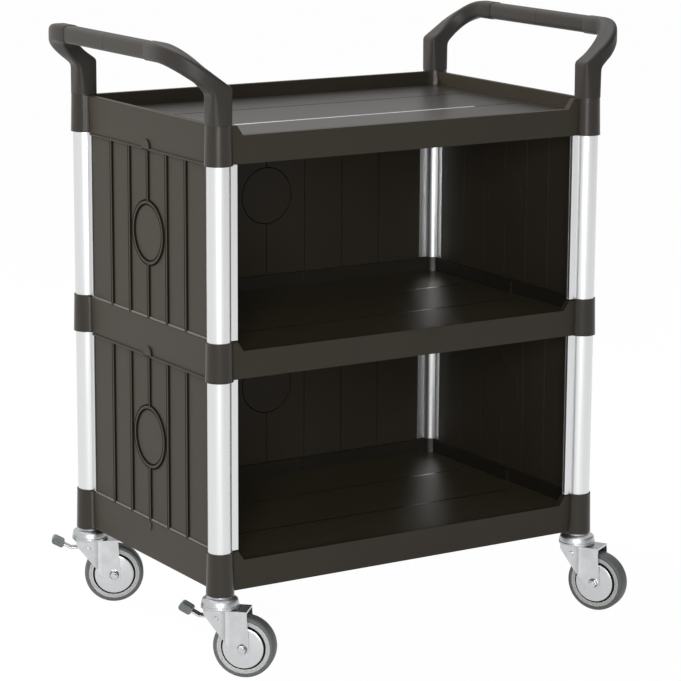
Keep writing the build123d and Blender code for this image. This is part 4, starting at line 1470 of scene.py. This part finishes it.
@dataclass
class Castors:
    """The four swivel castors: heads, forks, wheels and, on the left, brake pedals."""

    trail_deg: tuple[tuple[str, float], ...] = (
        ("front_left", -43.0),
        ("front_right", -60.0),
        ("rear_left", -27.0),
        ("rear_right", 60.0),
    )
    wheel_r: float = 50.0
    wheel_trail: float = 40.0
    steps: int = 96
    fork_edge: BrokenEdge = BrokenEdge(0.7, 2)
    pad_edge: BrokenEdge = BrokenEdge(0.8, 3)
    fork_top_z: float = 110.5
    collar_foot_z: float = 132.0
    head_r: float = 30.5
    head_neck_r: float = 21.0
    head_wall: float = 2.2
    rim_r: float = 43.0
    land_r: float = 36.0
    rim_wide: float = 26.0
    web_t: float = 12.0
    hub_r: float = 14.0
    hub_length: float = 29.0
    bore_r: float = 6.08
    tyre_wide: float = 28.0
    guard_r: float = 33.0
    guard_t: float = 1.6
    guard_boss_r: float = 16.0
    guard_hole_r: float = 6.05
    fork_gap: float = 18.0
    fork_t: float = 2.5
    bolt_r: float = 4.0
    bolt_af: float = 13.0
    bolt_flange_r: float = 8.1
    bolt_head_t: float = 5.3
    nut_t: float = 6.5
    bolt_end: float = 1.5
    bolt_steps: int = 48
    head_bore_r: float = 6.08
    turned_sharp_deg: float = 40.0
    bolt_sharp_deg: float = 25.0

    def build(self, shop: Workshop) -> None:
        """Make every castor piece that is seen.

        Args:
            shop: Where finished pieces go.
        """
        self.build_heads(shop)
        for corner, trail in self.trail_deg:
            sx, sy = CORNER_SIGNS[corner]
            stand = Matrix.Translation((sx * HALF_SPAN_X, sy * HALF_SPAN_Y, 0.0))
            stand = stand @ Matrix.Rotation(math.radians(trail), 4, "Z")
            axle = stand @ Matrix.Translation((self.wheel_trail, 0.0, self.wheel_r))
            axle = axle @ Matrix.Rotation(math.pi / 2, 4, "X")
            self.build_fork(shop, corner, stand)
            self.build_bolt(shop, corner, axle)
            self.build_wheel(shop, corner, axle)
            if corner in BRAKED_CORNERS:
                for part in ("brake_lever", "brake_pad", "brake_pin"):
                    node = f"{corner}_{part}"
                    shop.deliver(self.pad_edge.soften_node(node), node)

    def build_heads(self, shop: Workshop) -> None:
        """Make the four domed heads as one piece.

        Args:
            shop: Where finished pieces go.
        """
        low = self.fork_top_z + 1.0
        seat = self.collar_foot_z
        wall = self.head_wall
        outer = [
            (self.head_bore_r, seat, 0.0),
            (self.head_neck_r - 1.5, seat, 1.2),
            (self.head_neck_r + 0.5, seat - 3.5, 2.5),
            (self.head_r - 2.0, seat - 7.0, 5.0),
            (self.head_r - 0.4, low + 5.2, 1.5),
            (self.head_r - 1.2, low + 4.0, 0.8),
            (self.head_r, low + 3.2, 0.8),
            (self.head_r, low, 0.6),
        ]
        inner = [(r - wall, z - wall, radius) for r, z, radius in reversed(outer[1:-1])]
        edge = (self.head_r - wall, low, 0.3)
        line = round_corners([*outer, edge, *inner, (self.head_bore_r, seat - wall, 0.0)], 6)
        whole = bmesh.new()
        for sx, sy in CORNER_SIGNS.values():
            head = bmesh.new()
            lathe(line, self.steps, head)
            merge_into(whole, head, Matrix.Translation((sx * HALF_SPAN_X, sy * HALF_SPAN_Y, 0.0)))
        mesh = finished_mesh("heads", whole, Matrix.Identity(4), self.turned_sharp_deg, weighted=False)
        shop.deliver(mesh, "castor_heads", shop.finishes.head)

    def build_fork(self, shop: Workshop, corner: str, stand: Matrix) -> None:
        """Make a fork, unwrapped from its side.

        Args:
            shop: Where finished pieces go.
            corner: Name of the castor.
            stand: Place of the castor.
        """
        mesh = self.fork_edge.soften_node(f"{corner}_fork")
        local = stand.inverted() @ Matrix.Scale(1.0 / MM, 4)
        layer = mesh.uv_layers.new(name="side")
        for loop in mesh.loops:
            point = local @ mesh.vertices[loop.vertex_index].co
            layer.data[loop.index].uv = (point.x / UNWRAP_MM, point.z / UNWRAP_MM)
        shop.deliver(mesh, f"{corner}_fork", shop.finishes.fork)

    def build_bolt(self, shop: Workshop, corner: str, axle: Matrix) -> None:
        """Make the axle bolt and its nut, with flanges, chamfered hexagons and a domed end; the flanges are
        painted dark as shade round the nut and the head.

        Args:
            shop: Where finished pieces go.
            corner: Name of the castor.
            axle: Place of the wheel, turning about Z.
        """
        out = self.fork_gap + self.fork_t
        seat = out + 1.2
        top = out + self.nut_t
        tip = top + self.bolt_end
        point_r = self.bolt_af / math.sqrt(3.0)
        rod, disc = self.bolt_r, self.bolt_flange_r
        shank = [(0.0, -out), (rod, -out), (rod, tip - 1.2), (rod - 1.0, tip - 0.3), (0.0, tip)]
        flange = [(0.0, out), (disc, out), (disc, out + 0.7), (point_r, seat), (0.0, seat)]
        nut = [(0.0, seat), (point_r, seat), (point_r, top - 1.4), (point_r - 1.3, top), (0.0, top)]
        low = out + self.bolt_head_t
        head = [(0.0, seat), (point_r, seat), (point_r, low - 1.0), (point_r - 1.0, low), (0.0, low)]
        whole = bmesh.new()
        round_steps = self.bolt_steps
        for line, steps, side in (
            (shank, round_steps, 1),
            (flange, round_steps, 1),
            (nut, 6, 1),
            (flange, round_steps, -1),
            (head, 6, -1),
        ):
            ring = bmesh.new()
            lathe([(r, side * z) for r, z in line], steps, ring)
            # The flanges get the dark second finish: painted shade round the nut and the head.
            for face in ring.faces:
                face.material_index = int(line is flange)
            merge_into(whole, ring, Matrix.Identity(4))
        mesh = finished_mesh(f"{corner}_bolt", whole, axle, self.bolt_sharp_deg, weighted=False)
        zinc = shop.finishes.by_slot[Slot.ZINC_STEEL]
        shop.deliver(mesh, f"{corner}_axle_bolt", zinc, shop.finishes.flange_shade)

    def build_wheel(self, shop: Workshop, corner: str, axle: Matrix) -> None:
        """Make the tyre, the rim and the two guards of one wheel.

        Args:
            shop: Where finished pieces go.
            corner: Name of the castor.
            axle: Place of the wheel, turning about Z.
        """
        half = self.tyre_wide / 2
        crown = self.wheel_r
        side = [
            (self.rim_r, half, 0.5),
            (self.rim_r + 2.2, half, 0.6),
            (crown - 3.0, half - 0.4, 2.0),
            (crown - 0.5, half - 3.6, 1.6),
            (crown, half - 8.0, 3.0),
        ]
        line = round_corners([*side, *[(r, -z, radius) for r, z, radius in reversed(side)]], 4)
        self.turn(shop, f"{corner}_tyre", [line], axle)
        wide = self.rim_wide / 2
        face = [
            (self.bore_r, self.hub_length / 2, 0.3),
            (self.hub_r, self.hub_length / 2, 0.6),
            (self.hub_r, self.web_t / 2, 1.5),
            (self.land_r, self.web_t / 2, 1.5),
            (self.land_r, wide, 0.7),
            (self.land_r + 3.2, wide, 0.3),
            (self.land_r + 3.6, wide - 0.6, 0.2),
            (self.land_r + 4.0, wide, 0.3),
            (self.rim_r, wide, 0.4),
        ]
        line = round_corners([*face, *[(r, -z, radius) for r, z, radius in reversed(face)]], 4)
        # The rim's inside round the guard gets the near-black finish: painted shade.
        self.turn(shop, f"{corner}_wheel_rim", [line], axle, (self.land_r + 0.3, wide - 0.6))
        inner = self.hub_length / 2 + 0.5
        guard = [
            (self.guard_hole_r, inner, 0.0),
            (self.guard_boss_r, inner, 1.0),
            (self.guard_r, inner - 1.0, 0.4),
            (self.guard_r, inner - 1.0 + self.guard_t, 0.6),
            (self.guard_r - 2.4, inner - 0.4 + self.guard_t, 2.0),
            (self.guard_boss_r, self.fork_gap - 0.4, 4.0),
            (self.guard_hole_r + 4.0, self.fork_gap, 2.0),
            (self.guard_hole_r, self.fork_gap, 0.0),
        ]
        line = round_corners(guard, 4)
        self.turn(shop, f"{corner}_thread_guards", [line, [(r, -z) for r, z in line]], axle)

    def turn(
        self,
        shop: Workshop,
        node: str,
        lines: list[list[tuple[float, float]]],
        axle: Matrix,
        recess_shade: tuple[float, float] | None = None,
    ) -> None:
        """Make a turned piece from one or more outlines.

        Args:
            shop: Where finished pieces go.
            node: Node that it stands for.
            lines: Closed outlines of radius and height.
            axle: Place of the axis.
            recess_shade: Radius and height inside which the piece has a dark finish: painted shade.
        """
        whole = bmesh.new()
        for line in lines:
            ring = bmesh.new()
            lathe(line, self.steps, ring)
            merge_into(whole, ring, Matrix.Identity(4))
        # Faces inside the recess get the near-black second finish: painted shade.
        for face in whole.faces:
            middle = face.calc_center_median()
            if recess_shade and middle.xy.length < recess_shade[0] and abs(middle.z) < recess_shade[1]:
                face.material_index = 1
        mesh = finished_mesh(node, whole, axle, self.turned_sharp_deg, weighted=False)
        own = shop.finishes.by_slot[shop.slot_of[node]]
        shop.deliver(mesh, node, *((own, shop.finishes.recess_shade) if recess_shade else (own,)))


@dataclass(frozen=True)
class Lamp:
    """A square soft lamp."""

    name: str
    place: tuple[float, float, float]
    aim: tuple[float, float, float]
    size: float
    power: float
    mirrored: bool = True

    def hang(self) -> None:
        """Put the lamp in the scene."""
        data = bpy.data.lights.new(self.name, "AREA")
        data.shape = "SQUARE"
        data.size = self.size
        data.energy = self.power
        lamp = bpy.data.objects.new(self.name, data)
        bpy.context.scene.collection.objects.link(lamp)
        lamp.visible_glossy = self.mirrored
        lamp.location = self.place
        lamp.rotation_mode = "QUATERNION"
        lamp.rotation_quaternion = (Vector(self.aim) - Vector(self.place)).to_track_quat("-Z", "Y")


@dataclass
class Studio:
    """Camera, lamps, world and floor."""

    eye: tuple[float, float, float] = (-2.3949, -3.8573, 1.4378)
    yaw_deg: float = 31.97
    pitch_deg: float = 12.17
    roll_deg: float = 0.31
    lens_mm: float = 146.4
    floor_half: float = 20.0
    world_light: float = 0.15
    right_level: float = 0.18
    back_level: float = 0.5
    floor_glow: float = 0.985
    floor_grey: float = 0.86
    floor_roughness: float = 0.9
    lamps: tuple[Lamp, ...] = (
        Lamp("key", (-1.9, 2.0, 2.3), (0.0, 0.0, 0.5), 1.6, 150.0, mirrored=False),
        Lamp("fill", (-2.2, -3.6, 1.5), (0.0, 0.0, 0.45), 1.6, 110.0),
        Lamp("top", (0.2, 0.6, 3.2), (0.0, 0.0, 0.6), 2.4, 45.0),
    )

    def build(self) -> None:
        """Make everything that isn't part of the cart."""
        self.build_camera()
        for lamp in self.lamps:
            lamp.hang()
        self.build_world()
        self.build_floor()
        bpy.context.scene.view_settings.view_transform = "Standard"

    def build_camera(self) -> None:
        """Place the camera as the photograph was taken."""
        yaw, pitch, roll = (math.radians(a) for a in (self.yaw_deg, self.pitch_deg, self.roll_deg))
        ahead = Vector((math.sin(yaw) * math.cos(pitch), math.cos(yaw) * math.cos(pitch), -math.sin(pitch)))
        level = Vector((math.cos(yaw), -math.sin(yaw), 0.0))
        rise = level.cross(ahead)
        right = level * math.cos(roll) + rise * math.sin(roll)
        up = rise * math.cos(roll) - level * math.sin(roll)
        data = bpy.data.cameras.new("camera")
        data.lens = self.lens_mm
        data.sensor_width = 36.0
        data.clip_end = 100.0
        camera = bpy.data.objects.new("camera", data)
        bpy.context.scene.collection.objects.link(camera)
        turn = Matrix((right, up, -ahead)).transposed().to_4x4()
        camera.matrix_world = Matrix.Translation(self.eye) @ turn
        bpy.context.scene.camera = camera

    @staticmethod
    def towards(tree: bpy.types.NodeTree, way: tuple[float, float, float]) -> bpy.types.NodeSocket:
        """How far a ray of the world points one way.

        Args:
            tree: Node tree that gets the nodes.
            way: Direction, of length one.

        Returns:
            A socket that runs from -1 to 1.
        """
        ray = put(tree, "ShaderNodeTexCoord", {}).outputs["Generated"]
        return put(tree, "ShaderNodeVectorMath", {0: ray, 1: way}, operation="DOT_PRODUCT").outputs["Value"]

    @staticmethod
    def ramp(
        tree: bpy.types.NodeTree,
        value: bpy.types.NodeSocket,
        reach: tuple[float, float],
        levels: tuple[float, float],
    ) -> bpy.types.NodeSocket:
        """A soft step between two levels.

        Args:
            tree: Node tree that gets the node.
            value: What is stepped.
            reach: Values at which the step begins and is done.
            levels: Levels before and after it.

        Returns:
            The stepped socket.
        """
        (start, end), (low, high) = reach, levels
        inputs = {"Value": value, "From Min": start, "From Max": end, "To Min": low, "To Max": high}
        node = put(tree, "ShaderNodeMapRange", inputs, interpolation_type="SMOOTHSTEP")
        return node.outputs["Result"]

    def build_world(self) -> None:
        """White where it is seen, a plain light, and a studio with a dark right side where it is mirrored."""
        world = bpy.data.worlds.new("studio")
        bpy.context.scene.world = world
        world.use_nodes = True
        tree = world.node_tree
        background = tree.nodes["Background"]
        background.inputs["Color"].default_value = (1.0, 1.0, 1.0, 1.0)
        yaw = math.radians(self.yaw_deg)
        left = self.towards(tree, (-math.cos(yaw), math.sin(yaw), 0.0))
        behind = self.towards(tree, (math.sin(yaw), math.cos(yaw), 0.0))
        side = self.ramp(tree, left, (-0.95, -0.3), (self.right_level, 1.0))
        back = self.ramp(tree, behind, (0.8, 0.97), (1.0, self.back_level))
        mirrored = calc(tree, "MULTIPLY", side, back)
        path = tree.nodes.new("ShaderNodeLightPath")
        seen = calc(tree, "MAXIMUM", path.outputs["Is Camera Ray"], path.outputs["Is Transmission Ray"])
        levels = {"Value": path.outputs["Is Glossy Ray"], "To Min": self.world_light, "To Max": mirrored}
        light = put(tree, "ShaderNodeMapRange", levels).outputs["Result"]
        strength = put(tree, "ShaderNodeMapRange", {"Value": seen, "To Min": light, "To Max": 1.0})
        tree.links.new(strength.outputs["Result"], background.inputs["Strength"])

    def build_floor(self) -> None:
        """A pale floor that shows as white and keeps a soft shadow."""
        mesh = bpy.data.meshes.new("floor")
        half = self.floor_half
        corners = [(-half, -half, 0), (half, -half, 0), (half, half, 0), (-half, half, 0)]
        mesh.from_pydata(corners, [], [(0, 1, 2, 3)])
        floor = bpy.data.objects.new("floor", mesh)
        bpy.context.scene.collection.objects.link(floor)
        made = bpy.data.materials.new("pale_floor")
        made.use_nodes = True
        tree = made.node_tree
        shader = tree.nodes["Principled BSDF"]
        shader.inputs["Base Color"].default_value = (*[self.floor_grey] * 3, 1.0)
        shader.inputs["Roughness"].default_value = self.floor_roughness
        shader.inputs["Specular IOR Level"].default_value = 0.0
        glow = tree.nodes.new("ShaderNodeEmission")
        blend = tree.nodes.new("ShaderNodeMixShader")
        path = tree.nodes.new("ShaderNodeLightPath")
        seen = calc(tree, "MAXIMUM", path.outputs["Is Camera Ray"], path.outputs["Is Glossy Ray"])
        share = calc(tree, "MULTIPLY", seen, self.floor_glow)
        tree.links.new(share, blend.inputs[0])
        tree.links.new(shader.outputs[0], blend.inputs[1])
        tree.links.new(glow.outputs[0], blend.inputs[2])
        tree.links.new(blend.outputs[0], tree.nodes["Material Output"].inputs["Surface"])
        mesh.materials.append(made)


def main() -> None:
    """Build the studio and the cart, and report each piece."""
    logging.basicConfig(level=logging.INFO, format="%(message)s")
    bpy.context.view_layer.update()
    Studio().build()
    shop = Workshop(Finishes())
    Shelves().build(shop)
    Posts().build(shop)
    Panels().build(shop)
    Handles().build(shop)
    Castors().build(shop)
    shop.dress_rest()


if __name__ == "__main__":
    main()
